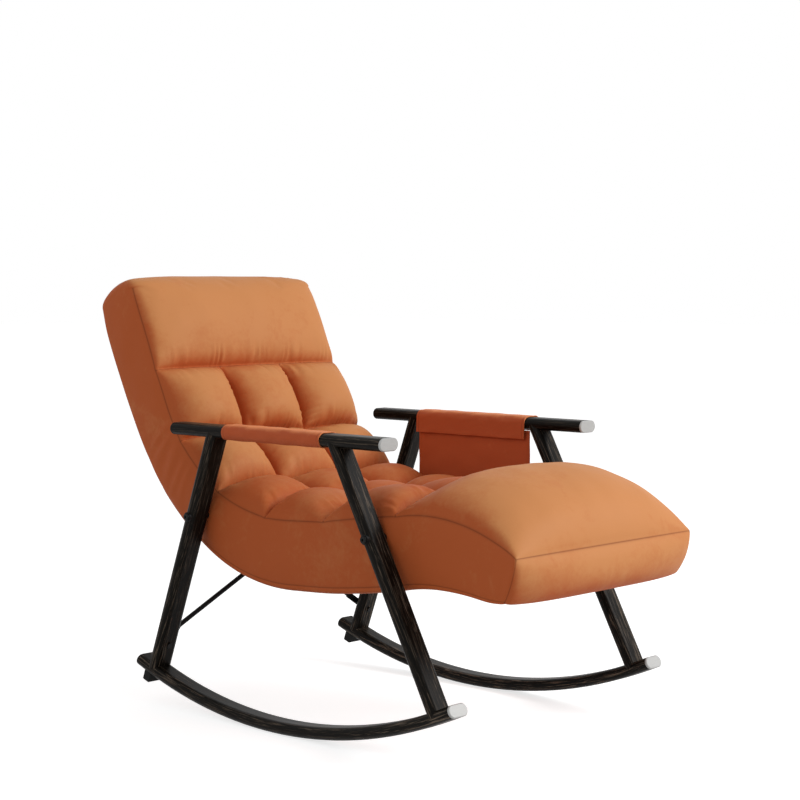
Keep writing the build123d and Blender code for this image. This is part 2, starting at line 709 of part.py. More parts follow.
def plain_section(plane, up, down, crown, inset=0.0):
    """One broad crown with full shoulders."""
    w = CUSHION_W / 2 - SIDE_BULGE - inset
    top = SHOULDER * w
    rise = SHOULDER_RISE * crown
    bend = ((w + top) / 2 + SHOULDER_PUSH * crown, up + SHOULDER_BEND * crown)
    with BuildSketch(plane) as section:
        with BuildLine():
            belly_line(w, up, down)
            ThreePointArc((w, up), bend, (top, up + rise))
            ThreePointArc((top, up + rise), (0, up + crown), (-top, up + rise))
            ThreePointArc((-top, up + rise), (-bend[0], bend[1]), (-w, up))
        make_face()
    return section.sketch


def belly_line(w, up, down):
    """Underside and both sides, from the left seam round to the right one."""
    low = w - ROLL_IN
    swell = w + SIDE_BULGE
    middle = (up - down) / 2
    ThreePointArc((-w, up), (-swell, middle), (-low, -down))
    ThreePointArc((-low, -down), (0, -down - BELLY), (low, -down))
    ThreePointArc((low, -down), (swell, middle), (w, up))


# The hollow for the frame: the straps carry the foam, and the back is hollow behind them
def frame_cavity(path, reach, low, high):
    with BuildPart() as cavity:
        with BuildLine() as route:
            path(0, PIVOT_TILT, reach + CAVITY_EASE)
        with BuildSketch(Plane(origin=route.line @ 0, x_dir=(1, 0, 0), z_dir=route.line % 0)):
            with Locations((0, (low + high) / 2)):
                Rectangle(2 * CAVITY_X, high - low)
        sweep()
    return cavity.part


seat_cavity = frame_cavity(seat_path, FOOT_RUN, -CAVITY_H, CAVITY_H)
back_cavity = frame_cavity(back_path, BACK_RUN, -CAVITY_H, BACK_HOLLOW)

# Room round the hinge plates, the hip bar with its eyes, the spacers and the rods
eye_room = HIP_BAR_D + 2 * ROD_EYE_WALL + 2 * CAVITY_EASE
with BuildPart() as hinge_room:
    cross_cylinder(-CAVITY_X, CAVITY_X, HIP_BAR, eye_room)
    for x0 in (-CAVITY_X, CAVITY_X - 2 * PLATE_T):
        with BuildSketch(Plane.YZ.offset(x0)):
            middle = (PIVOT + HIP_BAR) / 2
            lean = degrees(atan2(HIP_BAR.Z - PIVOT.Z, HIP_BAR.Y - PIVOT.Y))
            with Locations(Location((middle.Y, middle.Z, 0), (0, 0, lean))):
                SlotCenterToCenter((HIP_BAR - PIVOT).length, PLATE_W + 4 * CAVITY_EASE)
        extrude(amount=2 * PLATE_T)
    for side, sign in SIDES.items():
        low, high = rod_ends(sign, ROD_LIFTS[side])
        with BuildSketch(Plane(origin=high, z_dir=(low - high).normalized())):
            Circle(ROD_D / 2 + CAVITY_EASE)
        extrude(amount=(high - low).length / 2)
with BuildPart() as spacer_room:
    for point in (PIVOT, FRONT_BOLT):
        for x0 in (-INNER_X, SEAT_RAIL_X):
            cross_cylinder(x0, x0 + INNER_X - SEAT_RAIL_X, point, SPACER_D + 2 * SOFT_GAP)
HOLLOWS = (seat_cavity, back_cavity, hinge_room.part, spacer_room.part)


def between(a, b):
    return (a + b) / 2


def upholster(name, sections):
    """Loft the sections in order, then hollow the form for the frame."""
    with BuildPart() as pad:
        loft([shape(*values) for shape, *values in sections])
        for hollow in HOLLOWS:
            add(hollow, mode=Mode.SUBTRACT)
    solid = pad.part.solids().sort_by(SortBy.VOLUME)[-1]
    finish(solid, name)


def back_at(run):
    return station(back(run), BACK_TILT)


def hip_at(tilt):
    return station(hip(tilt), tilt)


def thigh_at(run):
    return station(thigh(run), -SEAT_RISE)


def knee_at(tilt):
    return station(knee(tilt), tilt)


def foot_at(run):
    return station(foot(run), FOOT_DROP)


HEAD_MIDDLE = between(BACK_SEAM_RUN, HEAD_END_RUN)
upholster("head_cushion", [
    (plain_section, back_at(HEAD_END_RUN + HEAD_ROUND), HEAD_UP, HEAD_DOWN, CREASE, END_TUCK),
    (plain_section, back_at(HEAD_END_RUN), BACK_UP, BACK_DOWN - END_TUCK, HEAD_CROWN, END_TUCK / 4),
    (plain_section, back_at(HEAD_MIDDLE), BACK_UP, BACK_DOWN, HEAD_CROWN),
    (plain_section, back_at(BACK_SEAM_RUN), BACK_UP, BACK_DOWN, CREASE_CROWN),
])
WAIST_EDGE = WAIST_TILT + hip_turn(SOFT_GAP)
upholster("back_cushion", [
    (tufted_section, back_at(BACK_SEAM_RUN), BACK_UP, BACK_DOWN, CREASE),
    (tufted_section, hip_at(BACK_TILT), BACK_UP, BACK_DOWN, PUFF),
    (tufted_section, hip_at(WAIST_EDGE), WAIST_UP, WAIST_DOWN, CREASE),
])
upholster("hip_cushion", [
    (tufted_section, hip_at(WAIST_TILT), WAIST_UP, WAIST_DOWN, CREASE),
    (tufted_section, hip_at(between(WAIST_TILT, PIVOT_TILT)), between(WAIST_UP, HIP_UP),
     between(WAIST_DOWN, HIP_DOWN), PUFF),
    (tufted_section, hip_at(PIVOT_TILT), HIP_UP, HIP_DOWN, CREASE),
    (tufted_section, hip_at(between(PIVOT_TILT, SEAT_SEAM_TILT)), between(HIP_UP, SEAT_UP),
     between(HIP_DOWN, SEAT_DOWN), PUFF),
    (tufted_section, hip_at(SEAT_SEAM_TILT), SEAT_UP, SEAT_DOWN, CREASE),
])
upholster("seat_cushion", [
    (tufted_section, hip_at(SEAT_SEAM_TILT), SEAT_UP, SEAT_DOWN, CREASE),
    (tufted_section, thigh_at(SEAT_PUFF_RUN), between(SEAT_UP, THIGH_UP),
     between(SEAT_DOWN, THIGH_DOWN), PUFF),
    (tufted_section, thigh_at(SEAT_SEAM_RUN), THIGH_UP, THIGH_DOWN, CREASE),
    (tufted_section, thigh_at(between(SEAT_SEAM_RUN, THIGH_RUN)), THIGH_UP, THIGH_DOWN, PUFF),
    (tufted_section, thigh_at(THIGH_RUN), THIGH_UP, THIGH_DOWN, CREASE),
])
upholster("leg_cushion", [
    (plain_section, thigh_at(THIGH_RUN), THIGH_UP, THIGH_DOWN, KNEE_CROWN),
    (plain_section, knee_at(0), LEG_UP, LEG_DOWN, LEG_CROWN),
    (plain_section, knee_at(between(0, FOOT_DROP)), between(LEG_UP, TOE_UP),
     between(LEG_DOWN, TOE_DOWN), LEG_CROWN),
    (plain_section, foot_at(FOOT_RUN), TOE_UP, TOE_DOWN, TOE_CROWN),
    (plain_section, foot_at(FOOT_RUN + TOE_PAD), END_UP, END_DOWN, END_CROWN),
    (plain_section, foot_at(FOOT_RUN + TOE_PAD + END_ROUND), END_UP - END_TUCK,
     END_DOWN - END_TUCK, CREASE, END_TUCK),
])


# Leather sleeves round the arms, the left one with a flap over its pocket
def make_sleeve(sign, reach, flap):
    front_y, rear_y = reach
    inner = (TUBE_W + 2 * SLEEVE_EASE, TUBE_H + 2 * SLEEVE_EASE)
    outer = (inner[0] + 2 * SLEEVE_T, inner[1] + 2 * SLEEVE_T)
    start = Plane(origin=(sign * SIDE_X, rear_y, ARM_Z), x_dir=(1, 0, 0), z_dir=(0, -1, 0))
    with BuildPart() as sleeve:
        with BuildSketch(start):
            SlotOverall(*outer)
            if flap:
                drop = TUBE_H / 2 + FLAP_DROP
                with Locations((-sign * (outer[0] - SLEEVE_T) / 2, -drop / 2)):
                    Rectangle(SLEEVE_T, drop)
            SlotOverall(*inner, mode=Mode.SUBTRACT)
        extrude(amount=rear_y - front_y)
    return sleeve.part


finish(make_sleeve(SIDES["right"], RIGHT_SLEEVE, False), "arm_sleeve_right")
finish(make_sleeve(SIDES["left"], LEFT_SLEEVE, True), "arm_sleeve_left")

# The pocket hangs from the underside of the left sleeve, open at the top behind the flap
pocket_top = ARM_Z - TUBE_H / 2 - SLEEVE_EASE - SLEEVE_T
pocket_x = INNER_X + POCKET_T / 2
pocket_l = LEFT_SLEEVE[1] - LEFT_SLEEVE[0] - 2 * POCKET_INSET
mouth_drop = FLAP_DROP / 2
pocket_y = between(*LEFT_SLEEVE)
with BuildPart() as pocket:
    with BuildSketch(Plane(origin=(INNER_X, pocket_y, pocket_top), x_dir=(0, 1, 0), z_dir=(1, 0, 0))):
        with Locations((0, -POCKET_DEPTH / 2)):
            Rectangle(pocket_l, POCKET_DEPTH)
    extrude(amount=POCKET_T)
    lower = edges().filter_by(Axis.X).group_by(Axis.Z)[0]
    fillet(lower, POCKET_ROUND)
    with BuildSketch(Plane(origin=(pocket_x, pocket_y, pocket_top))):
        Rectangle(POCKET_T - 2 * POCKET_WALL, pocket_l - 2 * POCKET_WALL)
    extrude(amount=-(POCKET_DEPTH - POCKET_ROUND), mode=Mode.SUBTRACT)
    with BuildSketch(Plane(origin=(pocket_x - POCKET_WALL, pocket_y, pocket_top))):
        Rectangle(POCKET_T, pocket_l)
    extrude(amount=-mouth_drop, mode=Mode.SUBTRACT)
finish(pocket.part, "pocket")
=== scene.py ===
"""Rocking chair with a folding backrest: upholstery, arm leather, tube finishes and studio.

The chair faces -Y, stands on Z 0, and its right and left are the sitter's own. All sizes are in metres.
"""

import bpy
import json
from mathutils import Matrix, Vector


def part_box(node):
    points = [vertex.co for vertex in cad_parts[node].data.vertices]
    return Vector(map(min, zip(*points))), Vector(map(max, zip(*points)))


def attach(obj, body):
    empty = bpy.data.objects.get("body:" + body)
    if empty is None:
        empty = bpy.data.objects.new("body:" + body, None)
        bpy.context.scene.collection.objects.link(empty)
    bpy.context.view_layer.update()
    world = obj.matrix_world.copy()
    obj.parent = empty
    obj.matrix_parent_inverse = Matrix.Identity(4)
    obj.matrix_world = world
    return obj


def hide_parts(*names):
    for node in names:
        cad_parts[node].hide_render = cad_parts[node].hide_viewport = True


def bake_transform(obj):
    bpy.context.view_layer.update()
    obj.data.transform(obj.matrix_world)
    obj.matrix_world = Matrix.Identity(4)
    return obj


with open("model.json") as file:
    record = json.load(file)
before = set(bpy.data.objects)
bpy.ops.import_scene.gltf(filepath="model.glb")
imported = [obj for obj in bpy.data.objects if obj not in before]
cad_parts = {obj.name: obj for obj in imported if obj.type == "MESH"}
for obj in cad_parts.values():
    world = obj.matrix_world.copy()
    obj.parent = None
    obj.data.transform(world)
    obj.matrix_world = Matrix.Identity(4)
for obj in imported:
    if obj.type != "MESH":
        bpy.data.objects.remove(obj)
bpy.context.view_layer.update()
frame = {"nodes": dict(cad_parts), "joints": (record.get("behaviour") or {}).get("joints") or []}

import json
from functools import partial
from math import acos, atan2, cos, pi, radians, sin

import bpy
import numpy as np
from bpy.props import FloatProperty, FloatVectorProperty, PointerProperty
from bpy.types import Operator, Panel, PropertyGroup
from mathutils import Vector, noise as cloud

bl_info = {
    "name": "Rocking chair",
    "version": (1, 0, 0),
    "blender": (4, 5, 0),
    "location": "View3D > Sidebar > Rocking chair",
    "description": "Upholstery, arm leather, tube finishes and studio of a rocking chair",
    "category": "Object",
}

CUSHIONS = ("head_cushion", "back_cushion", "hip_cushion", "seat_cushion", "leg_cushion")
SIDES = {"right": -1, "left": 1}


# Settings that a user would change
def length(name, description, default):
    return FloatProperty(name=name, description=description, default=default, min=0.0, unit="LENGTH")


def colour(name, description, default):
    return FloatVectorProperty(
        name=name, description=description, default=default, size=3, min=0.0, max=1.0, subtype="COLOR"
    )


class PadSettings(PropertyGroup):
    half_width: length("Half width", "From the middle of the pad to its upper side seam", 0.2655)
    valley: length("Valley", "Height of the channels over the side seams", 0.003)
    side_bulge: length("Side bulge", "How far the side panels swell", 0.003)
    belly: length("Belly", "Sag of the underside in the middle", 0.004)
    toe_bulge: length("Toe bulge", "Swell of the panel at the toe", 0.019)
    head_bulge: length("Head bulge", "Swell of the panel over the head", 0.009)
    toe_swell: length("Toe swell", "How far the side panel's end swells forward at the toe", 0.006)
    head_swell: length("Head swell", "How far the side panel's end swells up at the head", 0.010)
    seam_depth: length("Seam depth", "How deep the thread draws a seam in", 0.0020)
    gather: length("Gather", "Height of the small pleats beside the seams of the puffs", 0.0018)
    unevenness: length("Unevenness", "Height of the soft dents of the plain pads and the sides", 0.0030)
    # Painted light and shade: the first colour is the cover in painted shade, on sides turned from the key
    # light, on the seat and in the creases; the second is the cover in painted light, on sides turned towards
    # the key light.
    leather: colour("Leather", "The cover with its nap laid flat", (0.455, 0.098, 0.026))
    lit_leather: colour("Nap", "The cover where its nap is brushed up", (0.560, 0.230, 0.083))


class ArmSettings(PropertyGroup):
    leather_t: length("Leather", "Thickness of the arm leather", 0.0022)
    ripple: length("Ripple", "Unevenness of the stretched leather", 0.0005)
    # Painted light and shade: the first colour is the arm leather in painted shade, on sides turned from the
    # key light; the second is the arm leather in painted light, on sides turned towards the key light.
    leather: colour("Leather", "The arm leather", (0.470, 0.090, 0.029))
    lit_leather: colour("Nap", "The arm leather where it is worn", (0.720, 0.235, 0.088))


class TubeSettings(PropertyGroup):
    wood: colour("Grain ground", "Ground of the wood-grain film", (0.0030, 0.0024, 0.0018))
    streak: colour("Grain streak", "Lighter streaks of the wood-grain film", (0.170, 0.130, 0.096))
    cap: colour("Cap", "Bright end caps", (0.43, 0.43, 0.42))
    black: colour("Black", "Rods, bolts and plugs", (0.005, 0.005, 0.005))
    rocker_centre: length("Rocker centre", "Height of the centre of the rockers' arc", 1.1375)


class StudioSettings(PropertyGroup):
    eye: FloatVectorProperty(
        name="Eye", description="Place of the camera", default=(-2.8292, -2.7012, 0.8877), unit="LENGTH"
    )
    gaze: FloatVectorProperty(
        name="Gaze",
        description="Direction of view",
        default=(0.72767, 0.68307, -0.06257),
        subtype="DIRECTION",
    )
    lens: FloatProperty(name="Lens", description="Focal length in mm on a 36 mm sensor", default=85.23)
    key: FloatProperty(name="Key", description="Power of the main light", default=225.0, unit="POWER")
    fill: FloatProperty(name="Fill", description="Power of the side light", default=20.0, unit="POWER")
    sky: FloatProperty(name="Sky", description="Strength of the light from all round", default=0.42)


# The line in the middle of the pad, in the side view, from the toe seam to the head
HIP_RADIUS = 0.410
KNEE_RADIUS = 0.450
KNEE_AHEAD = 0.025
TOE_RUN = 0.070
HEAD_RUN = 0.266
HEAD_ROUND = 0.024
PIVOT_TILT = radians(26.0)
BACK_TILT = radians(65.5)
FOOT_DROP = radians(20.0)


def middle(node):
    low, high = (Vector(corner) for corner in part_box(node))
    return (low + high) / 2


def up_normal(tilt):
    """Direction out of the pad's surface where its line climbs rearward at this tilt."""
    return Vector((0, -sin(tilt), cos(tilt)))


def rearward(tilt):
    """Direction along the line, towards the head."""
    return Vector((0, cos(tilt), sin(tilt)))


PIVOT = Vector(frame["joints"][0]["pos_m"])
FRONT_BOLT = middle("front_bolts")
HIP_CENTRE = PIVOT + up_normal(PIVOT_TILT) * HIP_RADIUS
TO_BOLT = FRONT_BOLT - HIP_CENTRE
SEAT_RISE = atan2(-TO_BOLT.y, -TO_BOLT.z) - acos(HIP_RADIUS / TO_BOLT.length)
THIGH_START = HIP_CENTRE - up_normal(-SEAT_RISE) * HIP_RADIUS
THIGH_RUN = (FRONT_BOLT - THIGH_START).length + KNEE_AHEAD
THIGH_END = THIGH_START - rearward(-SEAT_RISE) * THIGH_RUN
KNEE_CENTRE = THIGH_END - up_normal(-SEAT_RISE) * KNEE_RADIUS
KNEE_END = KNEE_CENTRE + up_normal(FOOT_DROP) * KNEE_RADIUS
BACK_START = HIP_CENTRE - up_normal(BACK_TILT) * HIP_RADIUS

# Places along the line
AT_KNEE = TOE_RUN
AT_CALF = AT_KNEE + KNEE_RADIUS * FOOT_DROP
AT_THIGH = AT_CALF + KNEE_RADIUS * SEAT_RISE
AT_HIP = AT_THIGH + THIGH_RUN
AT_BACK = AT_HIP + HIP_RADIUS * (SEAT_RISE + BACK_TILT)
AT_HEAD = AT_BACK + HEAD_RUN
AT_END = AT_HEAD + HEAD_ROUND


def line_at(place):
    """Point and tilt of the pad's line at a place along it."""
    if place < AT_KNEE:
        return KNEE_END - rearward(FOOT_DROP) * (AT_KNEE - place), FOOT_DROP
    if place < AT_THIGH:
        tilt = FOOT_DROP - (place - AT_KNEE) / KNEE_RADIUS
        return KNEE_CENTRE + up_normal(tilt) * KNEE_RADIUS, tilt
    if place < AT_HIP:
        return THIGH_END + rearward(-SEAT_RISE) * (place - AT_THIGH), -SEAT_RISE
    if place < AT_BACK:
        tilt = (place - AT_HIP) / HIP_RADIUS - SEAT_RISE
        return HIP_CENTRE - up_normal(tilt) * HIP_RADIUS, tilt
    return BACK_START + rearward(BACK_TILT) * (place - AT_BACK), BACK_TILT


def at_tilt(degrees_up):
    """Place on the hip arc where the line climbs at this many degrees."""
    return AT_HIP + HIP_RADIUS * (SEAT_RISE + radians(degrees_up))


# Seams across the pad, and its shape as tables of (place along the line, size)
HIP_SEAM = AT_HIP + HIP_RADIUS * (SEAT_RISE + PIVOT_TILT)
HEAD_SEAM = AT_BACK + 0.076
CROSS_SEAMS = (AT_THIGH, AT_HIP - 0.100, at_tilt(2.4), HIP_SEAM, at_tilt(50.8), HEAD_SEAM)
# Height of each row's puffs, and where they crest: nearer the toe below 1, nearer the head above
ROW_PUFFS = (0.055, 0.057, 0.057, 0.060, 0.064)
ROW_HANG = (0.78, 1.15, 0.78, 0.95, 0.80)
UPPER_SEAM = (
    (0.0, 0.0370), (0.040, 0.0403), (0.350, 0.0389), (0.480, 0.0394),
    (0.660, 0.0505), (0.800, 0.0547), (0.900, 0.0577), (AT_END, 0.0605),
)
UNDERSIDE = (
    (0.0, 0.0555), (0.030, 0.0680), (0.100, 0.0840), (0.200, 0.0970), (0.360, 0.1066),
    (0.460, 0.1060), (0.600, 0.0957), (0.770, 0.0787), (0.850, 0.0678), (1.000, 0.0592),
    (1.050, 0.0572), (HEAD_SEAM, 0.0643), (1.320, 0.0660), (AT_HEAD, 0.0602), (AT_END, 0.0600),
)
LEG_CROWN = (
    (0.0, 0.0), (0.010, 0.019), (0.035, 0.047), (0.075, 0.068), (0.120, 0.080),
    (0.170, 0.083), (0.215, 0.077), (0.250, 0.057), (0.275, 0.035), (AT_THIGH, 0.010),
)
HEAD_CROWN = (
    (HEAD_SEAM, 0.004), (HEAD_SEAM + 0.010, 0.018), (HEAD_SEAM + 0.035, 0.031),
    (HEAD_SEAM + 0.085, 0.038), (HEAD_SEAM + 0.140, 0.036), (AT_HEAD, 0.028), (AT_END, 0.020),
)
EDGE_DROPS = (
    (0.0, 0.004), (0.15, 0.006), (AT_THIGH, 0.009), (AT_HIP, 0.011), (HIP_SEAM, 0.009), (AT_END, 0.008),
)
EDGE_LEAN = 1.2
LOWER_TUCK = 0.002
# Power and fullness of the crowns across the pad
PUFF = (2.3, 0.56)
OUTER_PUFF = (2.5, 0.66)
LEG_SHOULDER = (2.8, 0.64)
HEAD_SHOULDER = (4.0, 0.5)
TOE_SHARPNESS = 0.6
HEAD_SHARPNESS = 0.5
TOE_SPREAD = 0.005
TOE_SPREAD_RUN = 0.200
TOE_SWELL_RUN = 0.060
HEAD_SWELL_RUN = 0.090
HEAD_CORNER = 0.022
HEAD_DRAW_IN = 0.002
HEAD_DRAW_RUN = 0.045
HEAD_TOP_DROP = 0.024
HEAD_BACK_DROP = 0.036
HEAD_TURN = 0.97
ON_SEAM = 1e-9


def seam_distance(place):
    """How far the nearest cross seam is along the pad."""
    return min(abs(place - seam) for seam in CROSS_SEAMS)


def channel_distance(share, pad):
    """How far the nearer of the two channels is across the pad."""
    return abs(abs(share) - 1 / TOP_COLUMNS) * pad.half_width


def smooth_curve(points):
    """A smooth curve without overshoot through points given as (place, value)."""
    x, y = (np.array(values, float) for values in zip(*points))
    step = np.diff(x)
    slope = np.diff(y) / step
    tangent = np.concatenate([[slope[0]], (slope[:-1] + slope[1:]) / 2, [slope[-1]]])
    for n, rate in enumerate(slope):
        limit = 3 * abs(rate)
        tangent[n] = np.clip(tangent[n], -limit, limit)
        tangent[n + 1] = np.clip(tangent[n + 1], -limit, limit)

    def value(place):
        n = int(np.clip(np.searchsorted(x, place) - 1, 0, len(slope) - 1))
        t = (place - x[n]) / step[n]
        start = y[n] + t * t * (3 - 2 * t) * (y[n + 1] - y[n])
        lean = t * (1 - t) * ((1 - t) * tangent[n] - t * tangent[n + 1])
        return start + step[n] * lean

    return value


upper_seam = smooth_curve(UPPER_SEAM)
underside = smooth_curve(UNDERSIDE)
leg_crown = smooth_curve(LEG_CROWN)
head_crown = smooth_curve(HEAD_CROWN)
edge_drop = smooth_curve(EDGE_DROPS)


def shoulder(share, power, fullness):
    """A broad crown from -1 to 1, 0 at both ends."""
    return max(0.0, 1 - abs(share) ** power) ** fullness


def pillow(t):
    """Rounded rise from 0 at both seams of a puff to 1 in its middle."""
    return shoulder(2 * t - 1, *PUFF)


def outer_pillow(t):
    """A puff that rises steeply from its channel and falls more gently to the side seam at t 1."""
    if t < 0.5:
        return pillow(t)
    return shoulder(2 * t - 1, *OUTER_PUFF)


def spaced(count):
    """Shares from 0 to 1, closer together at both ends, where the seams are."""
    even = np.linspace(0, 1, count + 1)
    eased = 0.5 - 0.5 * np.cos(pi * even)
    return 0.4 * even + 0.6 * eased


TOP_COLUMNS = 3
COLUMN_FACES = 20
ROW_FACES = 18
LEG_FACES = 36
HEAD_FACES = 24
END_FACES = 7
PANEL_FACES = 8
EDGE_FACES = 4
TOP_FACES = TOP_COLUMNS * COLUMN_FACES
SIDE_FACES = PANEL_FACES + EDGE_FACES


def pad_places():
    """Places of the rings along the pad, with every cross seam among them."""
    stops = (0.0, *CROSS_SEAMS, AT_HEAD, AT_END)
    counts = (LEG_FACES, *[ROW_FACES] * (len(CROSS_SEAMS) - 1), HEAD_FACES, END_FACES)
    places = [0.0]
    for start, end, count in zip(stops, stops[1:], counts):
        places += list(start + (end - start) * spaced(count)[1:])
    return places


PLAIN_RUN = 0.050


def across_shares(place):
    """Shares across the top, from -1 at the right seam to 1 at the left one: closer beside the channels."""
    beyond = max(CROSS_SEAMS[0] - place, place - CROSS_SEAMS[-1], 0.0)
    plain = min(1.0, beyond / PLAIN_RUN)
    even = np.linspace(0, 1, COLUMN_FACES + 1)
    steps = plain * even + (1 - plain) * spaced(COLUMN_FACES)
    shares = [-1.0]
    for column in range(TOP_COLUMNS):
        shares += list(-1 + 2 * (column + steps[1:]) / TOP_COLUMNS)
    return shares


def top_rise(share, place, pad):
    """Height of the pad's top over the line between its side seams."""
    if place <= CROSS_SEAMS[0]:
        return leg_crown(place) * shoulder(share, *LEG_SHOULDER)
    if place >= CROSS_SEAMS[-1]:
        return head_crown(place) * shoulder(share, *HEAD_SHOULDER)
    row = int(np.searchsorted(CROSS_SEAMS, place)) - 1
    along = (place - CROSS_SEAMS[row]) / (CROSS_SEAMS[row + 1] - CROSS_SEAMS[row])
    column = min(TOP_COLUMNS - 1, int((share + 1) / 2 * TOP_COLUMNS))
    t = (share + 1) / 2 * TOP_COLUMNS - column
    if column == 0:
        across = outer_pillow(1 - t)
    elif column == TOP_COLUMNS - 1:
        across = outer_pillow(t)
    else:
        across = pillow(t)
    return pad.valley * (1 - share**2) + ROW_PUFFS[row] * across * pillow(along ** ROW_HANG[row])


def pad_ring(place, pad):
    """One ring of the pad as (x, height) pairs: top, left side, underside, right side."""
    up, down = upper_seam(place), underside(place)
    turn_in = 1 - max(0.0, 1 - max(0.0, (place - AT_HEAD) / HEAD_ROUND) ** 2 * HEAD_TURN) ** 0.5
    up -= HEAD_TOP_DROP * turn_in
    down -= HEAD_BACK_DROP * turn_in
    spread = max(0.0, 1 - place / TOE_SPREAD_RUN) ** 2
    drawn = min(1.0, max(0.0, (place - AT_HEAD) / HEAD_DRAW_RUN + 1)) ** 2
    half = pad.half_width + TOE_SPREAD * spread - HEAD_DRAW_IN * drawn - HEAD_CORNER * turn_in
    ring = [(share * half, up + top_rise(share, place, pad)) for share in across_shares(place)]
    drop = edge_drop(place)
    seam = -down + drop
    side = []
    for n in range(1, PANEL_FACES + 1):
        t = n / PANEL_FACES
        swell = pad.side_bulge * sin(pi * t) ** 0.8
        side.append((half + swell - LOWER_TUCK * t, up + (seam - up) * t))
    for n in range(1, EDGE_FACES + 1):
        turn = n / EDGE_FACES * pi / 2
        inward = LOWER_TUCK + EDGE_LEAN * drop * (1 - cos(turn))
        side.append((half - inward, -down + drop * (1 - sin(turn))))
    low = side[-1][0]
    ring += side
    for n in range(1, TOP_FACES):
        x = low * (1 - 2 * n / TOP_FACES)
        ring.append((x, -down - pad.belly * (1 - (x / low) ** 2)))
    ring += [(-x, h) for x, h in reversed(side)]
    return ring


def end_panel(ring, out, bulge, sharp):
    """Points inside an end ring, pushed out along a direction: TOP_FACES by SIDE_FACES quads."""
    top = ring[: TOP_FACES + 1]
    left = ring[TOP_FACES : TOP_FACES + SIDE_FACES + 1]
    low = ring[TOP_FACES + SIDE_FACES : 2 * TOP_FACES + SIDE_FACES + 1][::-1]
    right = (ring[2 * TOP_FACES + SIDE_FACES :] + ring[:1])[::-1]
    points = []
    for j in range(1, SIDE_FACES):
        v = j / SIDE_FACES
        for i in range(1, TOP_FACES):
            u = i / TOP_FACES
            flat = top[i] * (1 - v) + low[i] * v + right[j] * (1 - u) + left[j] * u
            flat -= (top[0] * (1 - u) + top[-1] * u) * (1 - v) + (low[0] * (1 - u) + low[-1] * u) * v
            swell = shoulder(2 * u - 1, 4, sharp) * shoulder(2 * v - 1, 2.4, sharp)
            points.append(flat + out * bulge * swell)
    return points


def pad_mesh(pad):
    """Vertices, quads, vertices on seams and pins of the whole pad."""
    places = pad_places()
    around = 2 * (TOP_FACES + SIDE_FACES)
    rings = []
    for place in places:
        point, tilt = line_at(place)
        normal, along = up_normal(tilt), rearward(tilt)
        middle_h = (upper_seam(place) - underside(place)) / 2
        half_h = (upper_seam(place) + underside(place)) / 2
        near_head = min(1.0, max(0.0, (place - AT_HEAD) / HEAD_SWELL_RUN + 1))
        near_toe = max(0.0, 1 - place / TOE_SWELL_RUN)
        swell = pad.head_swell * near_head**2 - pad.toe_swell * near_toe**2
        ring = []
        for x, h in pad_ring(place, pad):
            ahead = swell * max(0.0, 1 - ((h - middle_h) / half_h) ** 2)
            ring.append(point + Vector((x, 0, 0)) + normal * h + along * ahead)
        rings.append(ring)
    vertices = [corner for ring in rings for corner in ring]
    quads = []
    for n in range(len(rings) - 1):
        for k in range(around):
            a, b = n * around + k, n * around + (k + 1) % around
            quads.append((a, b, b + around, a + around))
    ends = (
        (0, -rearward(FOOT_DROP), pad.toe_bulge, TOE_SHARPNESS),
        (len(rings) - 1, rearward(BACK_TILT), pad.head_bulge, HEAD_SHARPNESS),
    )
    for ring, out, bulge, sharp in ends:
        start = len(vertices)
        vertices += end_panel(rings[ring], out, bulge, sharp)

        def corner(i, j):
            base = ring * around
            if j == 0:
                return base + i
            if j == SIDE_FACES:
                return base + 2 * TOP_FACES + SIDE_FACES - i
            if i == TOP_FACES:
                return base + TOP_FACES + j
            if i == 0:
                return base + (around - j)
            return start + (j - 1) * (TOP_FACES - 1) + i - 1

        for j in range(SIDE_FACES):
            for i in range(TOP_FACES):
                quads.append((corner(i, j), corner(i + 1, j), corner(i + 1, j + 1), corner(i, j + 1)))
    seams = seam_rings(places, around)
    pins = np.zeros(len(vertices))
    pins[seams] = 1.0
    for n in range(len(places)):
        under = n * around + TOP_FACES + PANEL_FACES
        pins[under : under + TOP_FACES + 2 * EDGE_FACES + 1] = 1.0
    return vertices, quads, seams, pins


def seam_rings(places, around):
    """Vertices that lie on a seam: side seams, cross seams, channels and the toe panel's edge."""
    left, right = TOP_FACES, 0
    low_left, low_right = TOP_FACES + PANEL_FACES, around - PANEL_FACES
    seams = set()
    for n, place in enumerate(places):
        if place <= AT_HEAD + ON_SEAM:
            low = int(np.interp(place, (HIP_SEAM, AT_BACK), (0, EDGE_FACES)))
            seams |= {n * around + k for k in (left, right, low_left + low, low_right - low)}
        if CROSS_SEAMS[0] <= place <= CROSS_SEAMS[-1] + ON_SEAM:
            seams |= {n * around + COLUMN_FACES * c for c in range(1, TOP_COLUMNS)}
        if seam_distance(place) < ON_SEAM:
            seams |= {n * around + k for k in range(TOP_FACES + 1)}
    seams |= set(range(around))
    return sorted(seams)


# Soft detail of the cover, added to the dense mesh
PLEAT_PITCH, PLEAT_DRIFT, PLEAT_FADE = 330, 95, 57
SEAM_PLEATS = 0.055
CHANNEL_PLEATS = 0.045
CHANNEL_SHARE = 0.7
GATHER_REACH = 0.024
PLAIN_GATHER = 0.35
CREASE_SHADE_REACH = 0.032
BEND = AT_BACK - 0.120
BEND_REACH = 0.110
BEND_FOLD = 0.45
SIDE_FADE = 0.08
TOE_FADE, HEAD_FADE, SEAM_FADE = 0.06, 0.04, 0.05
LEG_ROOM = 0.0010
SWELL_REACH = 0.038


def pleat(run, seed):
    """Uneven small folds along a seam, between -1 and 1."""
    folds = sin(PLEAT_PITCH * run + seed + 2.2 * sin(PLEAT_DRIFT * run + seed))
    return folds * (0.45 + 0.55 * sin(PLEAT_FADE * run + 2 * seed))


def beside(away, reach):
    """Strength of a pleat this far from its seam: none on the seam, most close to it, none beyond."""
    t = away / reach
    return max(0.0, t * (1 - t) ** 2 * 6.75) if t < 1 else 0.0


